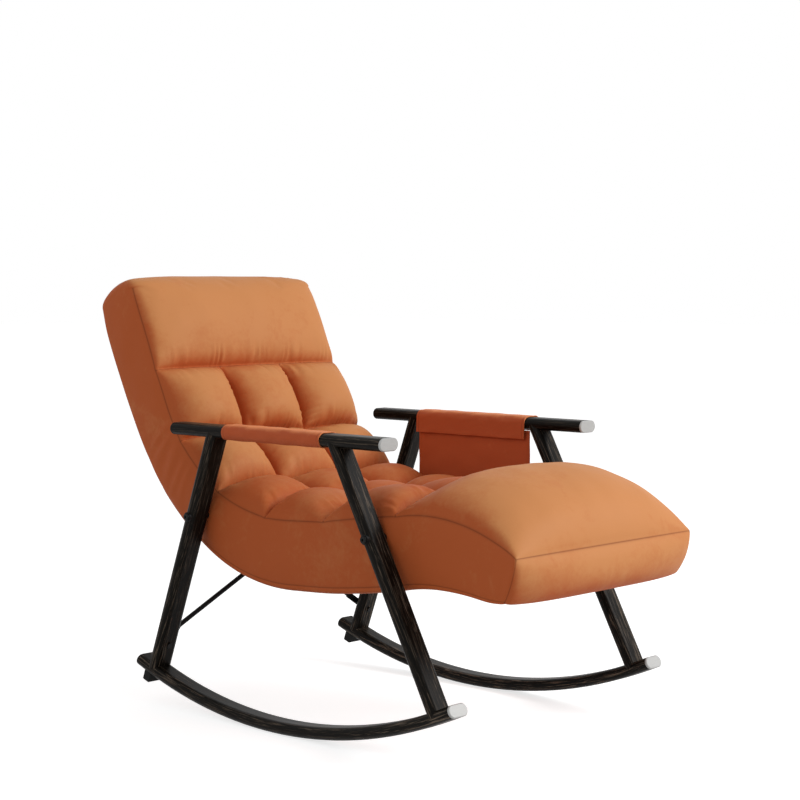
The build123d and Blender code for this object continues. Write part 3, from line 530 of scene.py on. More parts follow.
def dents(x, y, seed):
    """Soft dents of two sizes, about -1 to 1."""
    return cloud.noise(Vector((x * 9, y * 9, seed))) + 0.5 * cloud.noise(Vector((x * 21, y * 17, seed + 5)))


def chart(places):
    """For each vertex of the rings: its place along the pad, its share across, and 1 on top and sides."""
    along, across, cover = [], [], []
    down = [1 + n / SIDE_FACES for n in range(1, SIDE_FACES + 1)]
    for place in places:
        ring = across_shares(place) + down + [2 - 4 * n / TOP_FACES for n in range(1, TOP_FACES)]
        across += ring + [-share for share in reversed(down)]
        along += [place] * (2 * (TOP_FACES + SIDE_FACES))
        shown = [1.0] * (TOP_FACES + PANEL_FACES + 1)
        hidden = [0.0] * (TOP_FACES + 2 * EDGE_FACES)
        cover += shown + hidden + [1.0] * (PANEL_FACES - 1)
    return along, across, cover


def seam_gather(place, share):
    """1 beside a cross seam of the puffs, where the cover is gathered, falling to 0 away from it."""
    if abs(share) >= 1:
        return 0.0
    plain = place < CROSS_SEAMS[0] or place > CROSS_SEAMS[-1]
    close = max(0.0, 1 - seam_distance(place) / GATHER_REACH) ** 2
    return close * min(1.0, 8 * (1 - abs(share))) * (PLAIN_GATHER if plain else 1.0)


def crease_shade(place, share, pad):
    """1 in a seam of the puffs, where painted shade darkens the cover, falling to 0 away from it."""
    if abs(share) >= 1:
        return 0.0
    away = seam_distance(place)
    if CROSS_SEAMS[0] < place < CROSS_SEAMS[-1]:
        away = min(away, channel_distance(share, pad))
    return max(0.0, 1 - away / CREASE_SHADE_REACH) ** 1.5


def lean_on_legs(points, on_sides):
    """Swells the sides until they all but touch the legs round the bolts that carry the pad."""
    leg_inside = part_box("front_leg_left")[0][0] - LEG_ROOM
    for bolt in (FRONT_BOLT, PIVOT):
        away = np.hypot(points[:, 1] - bolt.y, points[:, 2] - bolt.z)
        swell = np.where(on_sides, np.exp(-((away / SWELL_REACH) ** 2)), 0.0)
        points[:, 0] += np.sign(points[:, 0]) * swell * (leg_inside - np.abs(points[:, 0]))
    return points


def soft_detail(place, share, pad):
    """A small shift along the normal: pleats beside the seams of the puffs, dents elsewhere."""
    if abs(share) >= 1:
        down = (abs(share) - 1) * SIDE_FACES / PANEL_FACES
        ends = min(1.0, place / SIDE_FADE, max(0.0, (AT_HEAD - place) / SIDE_FADE))
        flat = ends * sin(pi * min(1.0, down))
        creased = max(0.0, 1 - ((place - BEND) / BEND_REACH) ** 2)
        fold = BEND_FOLD * sin(190 * place + 5 * down + sin(60 * place)) * creased
        return pad.unevenness * (0.8 * dents(0.12 * down, place, 20 if share > 0 else 40) + fold) * flat
    near = min(CROSS_SEAMS, key=lambda seam: abs(place - seam))
    away = abs(place - near)
    x = share * pad.half_width
    shift = pad.gather * pleat(x, 40 * near) * beside(away, SEAM_PLEATS)
    if CROSS_SEAMS[0] < place < CROSS_SEAMS[-1]:
        side = beside(channel_distance(share, pad), CHANNEL_PLEATS)
        return shift + CHANNEL_SHARE * pad.gather * pleat(place, 9 * (share > 0)) * side
    ends = min(1.0, place / TOE_FADE, max(0.0, (AT_HEAD - place) / HEAD_FADE))
    edge = min(1.0, away / SEAM_FADE) * ends * min(1.0, 6 * (1 - abs(share)))
    return shift + pad.unevenness * dents(x, place, 3.7) * edge


# Mesh tools
def new_piece(name, vertices, faces):
    mesh = bpy.data.meshes.new(name)
    mesh.from_pydata([tuple(v) for v in vertices], [], faces)
    mesh.update()
    piece = bpy.data.objects.new(name, mesh)
    bpy.context.scene.collection.objects.link(piece)
    make_active(piece)
    bpy.ops.object.mode_set(mode="EDIT")
    bpy.ops.mesh.select_all(action="SELECT")
    bpy.ops.mesh.normals_make_consistent(inside=False)
    bpy.ops.object.mode_set(mode="OBJECT")
    return piece


def make_active(piece):
    bpy.ops.object.select_all(action="DESELECT")
    piece.select_set(True)
    bpy.context.view_layer.objects.active = piece


def apply_modifier(piece, kind, **values):
    """Adds a modifier with its values and applies it."""
    make_active(piece)
    modifier = piece.modifiers.new(kind.title(), kind)
    for key, value in values.items():
        setattr(modifier, key, value)
    bpy.ops.object.modifier_apply(modifier=modifier.name)


def coordinates(mesh):
    flat = np.empty(len(mesh.vertices) * 3)
    mesh.vertices.foreach_get("co", flat)
    return flat.reshape(-1, 3)


def set_coordinates(mesh, points):
    mesh.vertices.foreach_set("co", np.asarray(points, float).ravel())
    mesh.update()


def attribute(mesh, name):
    values = np.empty(len(mesh.vertices), np.float32)
    mesh.attributes[name].data.foreach_get("value", values)
    return values.astype(float)


def set_attribute(mesh, name, values):
    layer = mesh.attributes.new(name, "FLOAT", "POINT")
    layer.data.foreach_set("value", np.asarray(values, np.float32))


STUFFING_FRAMES = 18
STUFFING_PRESSURE = 4.0
STUFFING_REACH = 0.024


def stuff(piece, pins):
    """Blows the cover up between its pinned seams, as stuffing does, and keeps the result."""
    group = piece.vertex_groups.new(name="pins")
    for index in np.flatnonzero(pins):
        group.add([int(index)], float(pins[index]), "REPLACE")
    start = coordinates(piece.data)
    cloth = piece.modifiers.new("Stuffing", "CLOTH")
    settings = cloth.settings
    settings.quality = 5
    settings.mass = 0.25
    settings.tension_stiffness = 14
    settings.compression_stiffness = 10
    settings.shear_stiffness = 6
    settings.bending_stiffness = 0.8
    settings.use_pressure = True
    settings.uniform_pressure_force = STUFFING_PRESSURE
    settings.vertex_group_mass = group.name
    settings.effector_weights.gravity = 0.0
    cloth.collision_settings.use_collision = False
    for number in range(1, STUFFING_FRAMES + 1):
        bpy.context.scene.frame_set(number)
    evaluated = piece.evaluated_get(bpy.context.evaluated_depsgraph_get())
    shift = coordinates(evaluated.data) - start
    piece.modifiers.remove(cloth)
    piece.vertex_groups.remove(group)
    bpy.context.scene.frame_set(1)
    reach = np.linalg.norm(shift, axis=1, keepdims=True)
    shift *= np.minimum(1.0, STUFFING_REACH / np.maximum(reach, 1e-9))
    set_coordinates(piece.data, start + shift)


# The way towards the key light, for painted light, and how much painted shade darkens the cover at places
# along Y, where one sits, and in its creases
PAINTED_LIGHT_WAY = Vector((0.42, -0.66, 0.62)).normalized()
SEAT_SHADE = ((-0.38, 0.0), (-0.24, 0.78), (0.14, 0.78), (0.27, 0.0))
CREASE_SHADE = 0.7


def paint_nap_light(piece, seat_shade=(), creases=0.0):
    """Stores painted light and shade: lightest where the cover faces the key light, most to the front and
    left, with painted shade in creases and on the seat.
    """
    mesh = piece.data
    lay = np.array([vertex.normal.dot(PAINTED_LIGHT_WAY) for vertex in mesh.vertices])
    share = np.clip((lay + 0.15) / 0.95, 0.0, 1.0)
    nap_light = share * share * (3 - 2 * share)
    if seat_shade:
        nap_light *= 1 - np.interp([vertex.co.y for vertex in mesh.vertices], *zip(*seat_shade))
    set_attribute(mesh, "nap_light", nap_light * (1 - CREASE_SHADE * creases))


def push_out(piece, shifts):
    """Moves vertices along their normals by the shifts given for them."""
    mesh = piece.data
    points = coordinates(mesh)
    for index, shift in shifts.items():
        points[index] += np.array(mesh.vertices[index].normal) * shift
    set_coordinates(mesh, points)


# Materials
def new_material(name):
    material = bpy.data.materials.new(name)
    material.use_nodes = True
    return material, material.node_tree, material.node_tree.nodes["Principled BSDF"]


def add_node(tree, kind, links=None, **values):
    """A node with its properties and socket values set, and its inputs linked."""
    node = tree.nodes.new(kind)
    for key, value in values.items():
        if hasattr(node, key):
            setattr(node, key, value)
        else:
            node.inputs[key.replace("_", " ").capitalize()].default_value = value
    for socket, source in (links or {}).items():
        tree.links.new(source, node.inputs[socket])
    return node


def place_node(tree):
    return add_node(tree, "ShaderNodeTexCoord").outputs["Object"]


def noise(tree, vector, scale, detail=4.0, roughness=0.55, distortion=0.0):
    node = add_node(tree, "ShaderNodeTexNoise", {"Vector": vector}, scale=scale, detail=detail)
    node.inputs["Roughness"].default_value = roughness
    node.inputs["Distortion"].default_value = distortion
    return node.outputs["Fac"]


def ramp(tree, factor, low, high, dark, light):
    """A colour ramp from dark at low to light at high."""
    node = add_node(tree, "ShaderNodeValToRGB", {"Fac": factor})
    ends = node.color_ramp.elements
    ends[0].position, ends[1].position = low, high
    ends[0].color, ends[1].color = (*dark, 1), (*light, 1)
    return node.outputs["Color"]


def grey(value):
    return (value, value, value)


def mix_colours(tree, factor, first, second, blend="MIX"):
    node = tree.nodes.new("ShaderNodeMix")
    node.data_type, node.blend_type = "RGBA", blend
    for socket, source in ((0, factor), (6, first), (7, second)):
        if hasattr(source, "is_linked"):
            tree.links.new(source, node.inputs[socket])
        else:
            node.inputs[socket].default_value = source if socket == 0 else (*source, 1)
    return node.outputs[2]


def math_node(tree, operation, first, second=None, third=None):
    node = tree.nodes.new("ShaderNodeMath")
    node.operation = operation
    for socket, source in ((0, first), (1, second), (2, third)):
        if hasattr(source, "is_linked"):
            tree.links.new(source, node.inputs[socket])
        elif source is not None:
            node.inputs[socket].default_value = source
    return node.outputs[0]


def bump(tree, shader, height, strength, distance):
    node = add_node(tree, "ShaderNodeBump", {"Height": height}, strength=strength, distance=distance)
    tree.links.new(node.outputs["Normal"], shader.inputs["Normal"])


def leather_material(name, ground, nap_light):
    """Suede-like leather: painted light and shade from a stored attribute, with a tone that comes and goes in
    clouds, a fine grain and dark thin seams.
    """
    material, tree, shader = new_material(name)
    where = place_node(tree)
    clouds = noise(tree, where, 6.5, detail=5.0, roughness=0.6, distortion=0.7)
    smears = noise(tree, where, 24.0, roughness=0.65, distortion=1.2)
    flecks = noise(tree, where, 120.0, detail=3.0, roughness=0.6)
    # Painted light and shade stored on the mesh, with random clouds, smears and flecks of tone added.
    light_and_tone = add_node(tree, "ShaderNodeAttribute", attribute_name="nap_light").outputs["Fac"]
    for layer, weight in ((clouds, 1.1), (smears, 0.5), (flecks, 0.3)):
        light_and_tone = math_node(tree, "ADD", light_and_tone, math_node(tree, "MULTIPLY_ADD", layer, weight, -weight / 2))
    # The ground colour is the painted shade and the other colour the painted light.
    cover = ramp(tree, light_and_tone, 0.05, 0.95, ground, nap_light)
    seam = add_node(tree, "ShaderNodeAttribute", attribute_name="seam").outputs["Fac"]
    thin = math_node(tree, "MULTIPLY", math_node(tree, "POWER", seam, 9.0), 0.80)
    cover = mix_colours(tree, thin, cover, tuple(0.36 * c for c in ground))
    tree.links.new(cover, shader.inputs["Base Color"])
    rough = ramp(tree, clouds, 0.25, 0.8, grey(0.62), grey(0.5))
    tree.links.new(rough, shader.inputs["Roughness"])
    shader.inputs["Specular IOR Level"].default_value = 0.10
    shader.inputs["Sheen Weight"].default_value = 0.05
    shader.inputs["Sheen Roughness"].default_value = 0.5
    shader.inputs["Sheen Tint"].default_value = (1.0, 0.70, 0.42, 1)
    cells = add_node(tree, "ShaderNodeTexVoronoi", {"Vector": where}, scale=620.0).outputs["Distance"]
    pores = noise(tree, where, 1500.0, detail=2.0)
    creases = noise(tree, where, 42.0, distortion=0.4)
    grain = math_node(tree, "MULTIPLY_ADD", cells, 0.6, math_node(tree, "MULTIPLY", pores, 0.4))
    height = math_node(tree, "MULTIPLY_ADD", grain, 0.35, creases)
    fine = add_node(tree, "ShaderNodeBump", {"Height": height}, strength=0.35, distance=0.0011)
    gathered = add_node(tree, "ShaderNodeAttribute", attribute_name="gathered").outputs["Fac"]
    stretch = add_node(tree, "ShaderNodeMapping", {"Vector": where})
    stretch.inputs["Scale"].default_value = (1.0, 0.16, 0.16)
    folds = noise(tree, stretch.outputs["Vector"], 30.0, detail=2.0, roughness=0.5, distortion=0.4)
    off_fold = math_node(tree, "ABSOLUTE", math_node(tree, "SUBTRACT", folds, 0.5))
    ridges = math_node(tree, "MINIMUM", math_node(tree, "MULTIPLY", off_fold, 7.0), 1.0)
    puckers = math_node(tree, "MULTIPLY", ridges, gathered)
    pucker = add_node(tree, "ShaderNodeBump", {"Height": puckers}, strength=0.6, distance=0.003)
    tree.links.new(pucker.outputs["Normal"], fine.inputs["Normal"])
    tree.links.new(fine.outputs["Normal"], shader.inputs["Normal"])
    return material


ALONG_ARM = (0.0, 1.0, 0.0)


def along_direction(tree, direction):
    """Coordinates whose third axis runs along a direction of the side view."""
    where = place_node(tree)
    side = (0.0, direction[2], -direction[1])
    parts = add_node(tree, "ShaderNodeSeparateXYZ", {"Vector": where})
    axes = []
    for axis in (side, tuple(direction)):
        dot = add_node(tree, "ShaderNodeVectorMath", {0: where}, operation="DOT_PRODUCT")
        dot.inputs[1].default_value = axis
        axes.append(dot.outputs["Value"])
    return parts.outputs["X"], axes[0], axes[1]


def along_arc(tree, radius):
    """Coordinates whose third axis runs along the rockers' arc, which touches Z 0."""
    parts = add_node(tree, "ShaderNodeSeparateXYZ", {"Vector": place_node(tree)})
    drop = math_node(tree, "SUBTRACT", radius, parts.outputs["Z"])
    turn = math_node(tree, "ARCTAN2", parts.outputs["Y"], drop)
    run_square = math_node(tree, "MULTIPLY", parts.outputs["Y"], parts.outputs["Y"])
    out = math_node(tree, "SQRT", math_node(tree, "MULTIPLY_ADD", drop, drop, run_square))
    return parts.outputs["X"], out, math_node(tree, "MULTIPLY", turn, radius)


def grain_material(name, tubes, axes):
    """Black-brown wood-grain film, with streaks along the tube; axes makes its coordinates."""
    material, tree, shader = new_material(name)
    across, out, along = axes(tree)
    stretched = add_node(tree, "ShaderNodeCombineXYZ", {"X": across, "Y": out})
    tree.links.new(math_node(tree, "MULTIPLY", along, 0.045), stretched.inputs["Z"])
    vector = stretched.outputs["Vector"]
    broad = noise(tree, vector, 85.0, detail=5.0, roughness=0.62, distortion=0.5)
    fine = noise(tree, vector, 330.0, roughness=0.7, distortion=0.3)
    ground = ramp(tree, broad, 0.35, 0.75, tubes.wood, tuple(2.6 * c for c in tubes.wood))
    streaks = ramp(tree, fine, 0.52, 0.66, grey(0.0), grey(1.0))
    patches = ramp(tree, noise(tree, vector, 30.0, detail=3.0), 0.38, 0.62, grey(0.15), grey(1.0))
    shown = math_node(tree, "MULTIPLY", streaks, patches)
    tree.links.new(mix_colours(tree, shown, ground, tuple(tubes.streak)), shader.inputs["Base Color"])
    tree.links.new(ramp(tree, fine, 0.3, 0.75, grey(0.30), grey(0.48)), shader.inputs["Roughness"])
    shader.inputs["Specular IOR Level"].default_value = 0.06
    bump(tree, shader, fine, 0.3, 0.0006)
    return material


def metal_material(name, tint, roughness, streak_scale):
    """Brushed bright metal with fine lines across the chair."""
    material, tree, shader = new_material(name)
    stretch = add_node(tree, "ShaderNodeMapping", {"Vector": place_node(tree)})
    stretch.inputs["Scale"].default_value = (0.04, 1.0, 1.0)
    lines = noise(tree, stretch.outputs["Vector"], streak_scale, roughness=0.7)
    tint = tuple(tint)
    shade = ramp(tree, lines, 0.2, 0.85, tuple(0.82 * c for c in tint), tint)
    tree.links.new(shade, shader.inputs["Base Color"])
    rough = ramp(tree, lines, 0.2, 0.8, grey(roughness), grey(roughness + 0.14))
    tree.links.new(rough, shader.inputs["Roughness"])
    shader.inputs["Metallic"].default_value = 0.25
    bump(tree, shader, lines, 0.12, 0.0003)
    return material


def coated_material(name, tint, low, high, scale):
    """Black coating, rubber or moulding with a fine speckle."""
    material, tree, shader = new_material(name)
    speckle = noise(tree, place_node(tree), scale, roughness=0.6)
    tint = tuple(tint)
    shade = ramp(tree, speckle, 0.3, 0.75, tint, tuple(2.2 * c for c in tint))
    tree.links.new(shade, shader.inputs["Base Color"])
    tree.links.new(ramp(tree, speckle, 0.3, 0.75, grey(low), grey(high)), shader.inputs["Roughness"])
    shader.inputs["Specular IOR Level"].default_value = 0.12
    bump(tree, shader, speckle, 0.2, 0.0004)
    return material


def webbing_material(name, tint):
    """Woven elastic: fine ribs along and across the strap."""
    material, tree, shader = new_material(name)
    wave = add_node(tree, "ShaderNodeTexWave", {"Vector": place_node(tree)}, scale=260.0, distortion=0.6)
    tint = tuple(tint)
    shade = ramp(tree, wave.outputs["Fac"], 0.2, 0.8, tint, tuple(3 * c for c in tint))
    tree.links.new(shade, shader.inputs["Base Color"])
    shader.inputs["Roughness"].default_value = 0.85
    bump(tree, shader, wave.outputs["Fac"], 0.4, 0.0006)
    return material


def paint_node(name, material):
    """Gives a piece of the frame its finish."""
    slots = frame["nodes"][name].data.materials
    slots.clear()
    slots.append(material)


# Arm leather
RING_FACES = 64
FLAP_FACES = 8
SLEEVE_FACES = 60
POCKET_FACES = 40
POCKET_ROWS = 26
HEM = 0.006
HEM_DEPTH = 0.0005
FLAP_SWING = 0.0014
LEFT_WRAP = 0.86
POCKET_AHEAD = 0.012
POCKET_BEHIND = 0.004
POCKET_CORNER = 0.018
POCKET_LEATHER = 0.7


def oval_point(run, half_w, half_h):
    """Point of a flat oval this far along it, from its inner side over the top, in a left arm's section."""
    flat, quarter = 2 * (half_w - half_h), pi * half_h / 2
    if run < quarter:
        turn = run / half_h
        return -flat / 2 - half_h * cos(turn), half_h * sin(turn)
    run -= quarter
    if run < flat:
        return run - flat / 2, half_h
    run -= flat
    if run < 2 * quarter:
        turn = run / half_h
        return flat / 2 + half_h * sin(turn), half_h * cos(turn)
    run -= 2 * quarter
    if run < flat:
        return flat / 2 - run, -half_h
    turn = (run - flat) / half_h
    return -flat / 2 - half_h * sin(turn), -half_h * cos(turn)


def ripple(a, b, size):
    """A small fixed unevenness."""
    return size * (sin(3.7 * a + 1.3 * sin(0.9 * b)) + 0.6 * sin(2.3 * b + 2.0 * sin(1.7 * a)))


def sheet_piece(name, rows, closed, thickness, hems):
    """A leather sheet from rows of points, thickened inward; hems are the rows that carry a stitched line."""
    wide = len(rows[0])
    faces = []
    for n in range(len(rows) - 1):
        for k in range(wide if closed else wide - 1):
            a, b = n * wide + k, n * wide + (k + 1) % wide
            faces.append((a, b, b + wide, a + wide))
    piece = new_piece(name, [point for row in rows for point in row], faces)
    seam = np.zeros(len(rows) * wide)
    for n in hems:
        seam[n * wide : (n + 1) * wide] = 1.0
    set_attribute(piece.data, "seam", seam)
    push_out(piece, {int(index): -HEM_DEPTH for index in np.flatnonzero(seam)})
    apply_modifier(piece, "SOLIDIFY", thickness=thickness, offset=-1.0, use_even_offset=True)
    rounding = {"limit_method": "ANGLE", "angle_limit": radians(50)}
    apply_modifier(piece, "BEVEL", width=thickness * 0.3, segments=2, **rounding)
    bpy.ops.object.shade_smooth_by_angle(angle=radians(45))
    return piece


def lengthwise(start, end):
    """Places along a sleeve, with a hem line near both of its ends."""
    inner = np.linspace(start + HEM, end - HEM, SLEEVE_FACES - 1)
    return [start, start + HEM / 2, *inner, end - HEM / 2, end]


def sleeve_rows(node, tube, sign, flap_z, arms):
    """Rows of a sleeve round an arm; with flap_z given, it starts as a flap on the inner side."""
    low, high = (Vector(corner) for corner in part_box(node))
    axis = middle(tube)
    half_w = (high.x - low.x) / 2
    half_h = high.z - axis.z
    around = 4 * (half_w - half_h) + 2 * pi * half_h
    rows = []
    for y in lengthwise(low.y, high.y):
        row = []
        if flap_z is not None:
            for n in range(FLAP_FACES):
                t = n / FLAP_FACES
                swing = FLAP_SWING * (1 - t) ** 2 + ripple(30 * y, 4 * t, arms.ripple) * (1 - t)
                row.append((axis.x - sign * (half_w + swing), y, flap_z + (axis.z - flap_z) * t))
        count = RING_FACES if flap_z is None else int(RING_FACES * LEFT_WRAP)
        for n in range(count):
            x, z = oval_point(around * n / RING_FACES, half_w, half_h)
            slack = 1 + ripple(28 * y, 0.3 * n, arms.ripple) / half_w
            row.append((axis.x + sign * x * slack, y, axis.z + z * slack))
        rows.append(row)
    return rows, around


def pocket_rows(node, arms):
    """Rows of the pocket, from its mouth down: each goes round both panels."""
    low, high = (Vector(corner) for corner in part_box(node))
    front, rear = low.y - POCKET_AHEAD, high.y + POCKET_BEHIND
    middle_y, half_y = (front + rear) / 2, (rear - front) / 2
    middle_x, half_x = (low.x + high.x) / 2, (high.x - low.x) / 2
    rows = []
    heights = [high.z, high.z - HEM / 2, *np.linspace(high.z - HEM, low.z + 0.001, POCKET_ROWS)]
    for z in heights:
        over = max(0.0, POCKET_CORNER - (z - low.z))
        reach = half_y - POCKET_CORNER + max(0.0, POCKET_CORNER**2 - over**2) ** 0.5
        drop = (high.z - z) / (high.z - low.z)
        belly = half_x * (0.42 + 0.5 * sin(pi * drop**1.3)) if drop < 0.999 else half_x * 0.3
        row = []
        for side in (-1, 1):
            for n in range(POCKET_FACES):
                t = n / POCKET_FACES
                y = middle_y - side * reach * (1 - 2 * t)
                swell = belly * (1 - abs(1 - 2 * t) ** 5) ** 0.8
                uneven = ripple(18 * y, 9 * drop, arms.ripple)
                row.append((middle_x + side * (0.0006 + swell) + uneven, y, z))
        rows.append(row)
    return rows, half_y


# Studio
KEY_LIGHT = {"place": (2.5, -4.0, 3.1), "target": (0.0, 0.0, 0.5), "size": 2.6}
SIDE_LIGHT = {"place": (-3.0, 0.4, 2.1), "target": (0.0, 0.1, 0.6), "size": 2.4}
FLOOR_SIZE = 60.0
FLOOR_GAP = 0.0005
FLOOR_GLOW = 0.72


# Operators
class CHAIR_OT_upholstery(Operator):
    """Sews and stuffs the pad that runs from the toe to the head"""

    bl_idname = "chair.upholstery"
    bl_label = "Upholstery"

    def execute(self, context):
        pad = context.scene.chair_pad
        vertices, quads, seams, pins = pad_mesh(pad)
        piece = new_piece("upholstery_pad", vertices, quads)
        stuff(piece, pins)
        push_out(piece, {seam: -pad.seam_depth for seam in seams})
        total = len(piece.data.vertices)
        strength = np.zeros(total)
        strength[seams] = 1.0
        set_attribute(piece.data, "seam", strength)
        for name, values in zip(("along", "across", "cover"), chart(pad_places())):
            set_attribute(piece.data, name, np.pad(values, (0, total - len(values))))
        apply_modifier(piece, "SUBSURF", levels=1, render_levels=1)
        creases = self.add_detail(piece.data, pad)
        # Painted light and shade: lighter where the cover faces the key light, with painted shade on the seat
        # and in the creases.
        paint_nap_light(piece, SEAT_SHADE, creases)
        bpy.ops.object.shade_smooth()
        cover = leather_material("pad leather", tuple(pad.leather), tuple(pad.lit_leather))
        piece.data.materials.append(cover)
        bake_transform(piece)
        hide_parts(*CUSHIONS)
        return {"FINISHED"}

    def add_detail(self, mesh, pad):
        """Sets pleats and dents into the dense mesh, marks its gathers and returns how creased it is, which
        sets the painted shade in the creases.
        """
        along, across, cover = (attribute(mesh, name) for name in ("along", "across", "cover"))
        places = list(zip(along, across))
        normals = np.array([vertex.normal for vertex in mesh.vertices])
        shifts = cover * [soft_detail(place, share, pad) for place, share in places]
        points = coordinates(mesh) + normals * shifts[:, None]
        set_coordinates(mesh, lean_on_legs(points, np.abs(across) > 1))
        set_attribute(mesh, "gathered", cover * [seam_gather(place, share) for place, share in places])
        return cover * [crease_shade(place, share, pad) for place, share in places]


class CHAIR_OT_frame_finish(Operator):
    """Gives tubes, caps, rods, bolts and the hidden frame their finishes"""

    bl_idname = "chair.frame_finish"
    bl_label = "Frame finish"

    def execute(self, context):
        tubes = context.scene.chair_tubes
        bowed = partial(along_arc, radius=tubes.rocker_centre)
        grains = {
            "arm_tube": grain_material("arm grain", tubes, partial(along_direction, direction=ALONG_ARM)),
            "rocker": grain_material("rocker grain", tubes, bowed),
        }
        for leg, lean in (("rear_leg", 1), ("front_leg", -1)):
            low, high = (Vector(corner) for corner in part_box(f"{leg}_right"))
            down = Vector((0, lean * (high.y - low.y), low.z - high.z)).normalized()
            grains[leg] = grain_material(f"{leg} grain", tubes, partial(along_direction, direction=down))
        bright = metal_material("brushed cap", tubes.cap, 0.42, 900.0)
        coat = coated_material("black coat", tubes.black, 0.38, 0.55, 420.0)
        rubber = coated_material("rubber", tubes.black, 0.6, 0.8, 700.0)
        webbing = webbing_material("webbing", tubes.black)
        for name in frame["nodes"]:
            if name in CUSHIONS or name.startswith("arm_sleeve") or name == "pocket":
                continue
            if name.endswith("straps"):
                finish = webbing
            elif name.endswith("front_caps"):
                finish = bright
            elif name.startswith("tip_stop") or name.endswith("rear_plugs"):
                finish = rubber
            else:
                family = name.rsplit("_", 1)[0]
                finish = grains.get(family, coat)
            paint_node(name, finish)
        return {"FINISHED"}


class CHAIR_OT_arm_leather(Operator):
    """Stretches the leather sleeves round the arms and hangs the pocket"""

    bl_idname = "chair.arm_leather"
    bl_label = "Arm leather"

    def execute(self, context):
        arms = context.scene.chair_arms
        cover = leather_material("arm leather", tuple(arms.leather), tuple(arms.lit_leather))
        flap_z = Vector(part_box("arm_sleeve_left")[0]).z
        for side, sign in SIDES.items():
            node, tube = f"arm_sleeve_{side}", f"arm_tube_{side}"
            hangs = flap_z if side == "left" else None
            rows, around = sleeve_rows(node, tube, sign, hangs, arms)
            hems = (2, len(rows) - 3)
            piece = sheet_piece(f"arm_leather_{side}", rows, hangs is None, arms.leather_t, hems)
            long = rows[-1][0][1] - rows[0][0][1]
            wide = around if hangs is None else around * LEFT_WRAP + middle(tube).z - flap_z
            self.hand_over(piece, cover, (wide, long), "stretched", node, tube)
        rows, half_y = pocket_rows("pocket", arms)
        piece = sheet_piece("pocket_bag", rows, True, arms.leather_t * POCKET_LEATHER, (2,))
        deep = rows[0][0][2] - rows[-1][0][2]
        self.hand_over(piece, cover, (4 * half_y, deep), "hung", "pocket", "arm_sleeve_left")
        return {"FINISHED"}

    def hand_over(self, piece, cover, flat, held, node, support):
        # Painted light and shade: the leather is lighter where it faces the key light and darker where it is
        # turned away.
        paint_nap_light(piece)
        piece.data.materials.append(cover)
        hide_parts(node)
        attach(piece, "base")


class CHAIR_OT_studio(Operator):
    """Sets the floor, the light and the camera"""

    bl_idname = "chair.studio"
    bl_label = "Studio"

    def execute(self, context):
        studio = context.scene.chair_studio
        bpy.ops.object.select_all(action="DESELECT")
        bpy.ops.mesh.primitive_plane_add(size=FLOOR_SIZE, location=(0, 0, -FLOOR_GAP))
        floor = context.object
        floor.name = "floor"
        floor.data.materials.append(floor_material())
        light_world(context.scene, studio.sky)
        area_light("key light", power=studio.key, **KEY_LIGHT)
        area_light("side light", power=studio.fill, **SIDE_LIGHT)
        eye = bpy.data.cameras.new("camera")
        camera = bpy.data.objects.new("camera", eye)
        context.scene.collection.objects.link(camera)
        camera.location = studio.eye
        camera.rotation_euler = Vector(studio.gaze).to_track_quat("-Z", "Y").to_euler()
        eye.lens, eye.sensor_width = studio.lens, 36.0
        eye.clip_end = 100.0
        context.scene.camera = camera
        context.scene.view_settings.view_transform = "Standard"
        return {"FINISHED"}


def floor_material():
    """Pale floor that looks white and still takes the chair's shadow."""
    material, tree, shader = new_material("pale floor")
    soft = noise(tree, place_node(tree), 3.0, detail=2.0)
    tree.links.new(ramp(tree, soft, 0.2, 0.8, grey(0.60), grey(0.62)), shader.inputs["Base Color"])
    shader.inputs["Roughness"].default_value = 0.9
    shader.inputs["Emission Color"].default_value = (1, 1, 1, 1)
    rays = add_node(tree, "ShaderNodeLightPath")
    seen = math_node(tree, "MAXIMUM", rays.outputs["Is Camera Ray"], rays.outputs["Is Glossy Ray"])
    tree.links.new(math_node(tree, "MULTIPLY", seen, FLOOR_GLOW), shader.inputs["Emission Strength"])
    return material


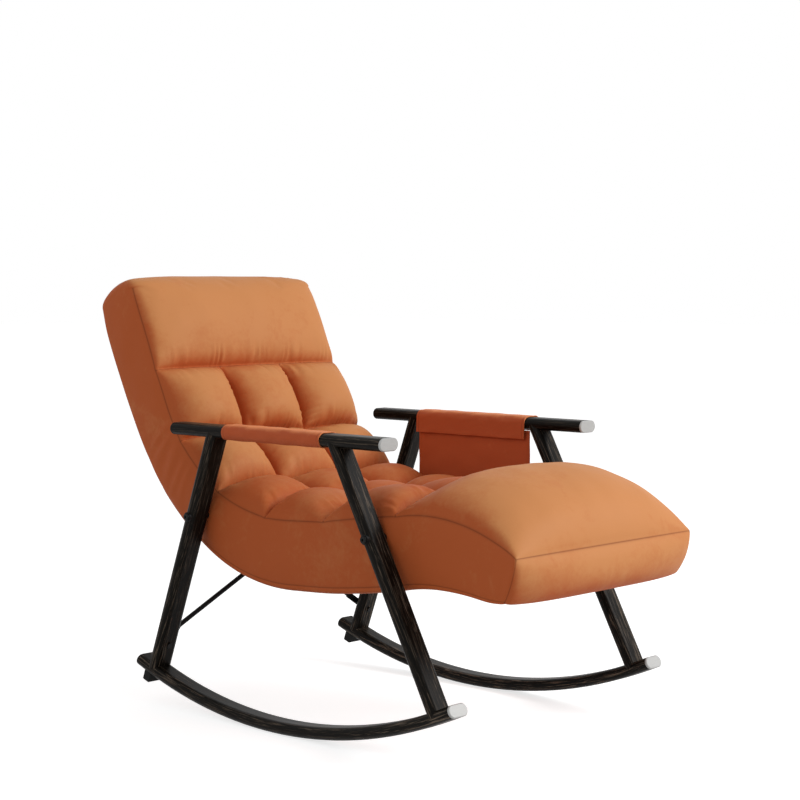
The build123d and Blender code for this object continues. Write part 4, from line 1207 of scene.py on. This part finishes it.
def light_world(scene, strength):
    """White to the eye and in reflections, and a soft even light on everything."""
    world = bpy.data.worlds.new("studio")
    world.use_nodes = True
    scene.world = world
    tree = world.node_tree
    background = tree.nodes["Background"]
    background.inputs["Color"].default_value = (1, 1, 1, 1)
    rays = add_node(tree, "ShaderNodeLightPath")
    seen = math_node(tree, "MAXIMUM", rays.outputs["Is Camera Ray"], rays.outputs["Is Glossy Ray"])
    seen = math_node(tree, "MAXIMUM", seen, rays.outputs["Is Transmission Ray"])
    lift = math_node(tree, "MULTIPLY", seen, 1.0 - strength)
    tree.links.new(math_node(tree, "ADD", lift, strength), background.inputs["Strength"])


def area_light(name, place, target, size, power):
    lamp = bpy.data.lights.new(name, "AREA")
    lamp.energy, lamp.size = power, size
    light = bpy.data.objects.new(name, lamp)
    bpy.context.scene.collection.objects.link(light)
    light.location = place
    light.rotation_euler = (Vector(target) - Vector(place)).to_track_quat("-Z", "Y").to_euler()


class CHAIR_PT_panel(Panel):
    """Lists the steps that dress the chair"""

    bl_idname = "CHAIR_PT_panel"
    bl_label = "Rocking chair"
    bl_space_type = "VIEW_3D"
    bl_region_type = "UI"
    bl_category = "Rocking chair"

    def draw(self, context):
        for step in STEPS:
            self.layout.operator(step.bl_idname)


STEPS = (CHAIR_OT_frame_finish, CHAIR_OT_upholstery, CHAIR_OT_arm_leather, CHAIR_OT_studio)
SETTINGS = {
    "chair_pad": PadSettings,
    "chair_arms": ArmSettings,
    "chair_tubes": TubeSettings,
    "chair_studio": StudioSettings,
}


def register():
    for group in (*SETTINGS.values(), *STEPS, CHAIR_PT_panel):
        bpy.utils.register_class(group)
    for name, group in SETTINGS.items():
        setattr(bpy.types.Scene, name, PointerProperty(type=group))


def unregister():
    for name in SETTINGS:
        delattr(bpy.types.Scene, name)
    for group in (CHAIR_PT_panel, *reversed(STEPS), *SETTINGS.values()):
        bpy.utils.unregister_class(group)


def main():
    register()
    bpy.ops.chair.frame_finish()
    bpy.ops.chair.upholstery()
    bpy.ops.chair.arm_leather()
    bpy.ops.chair.studio()


if __name__ == "__main__":
    main()
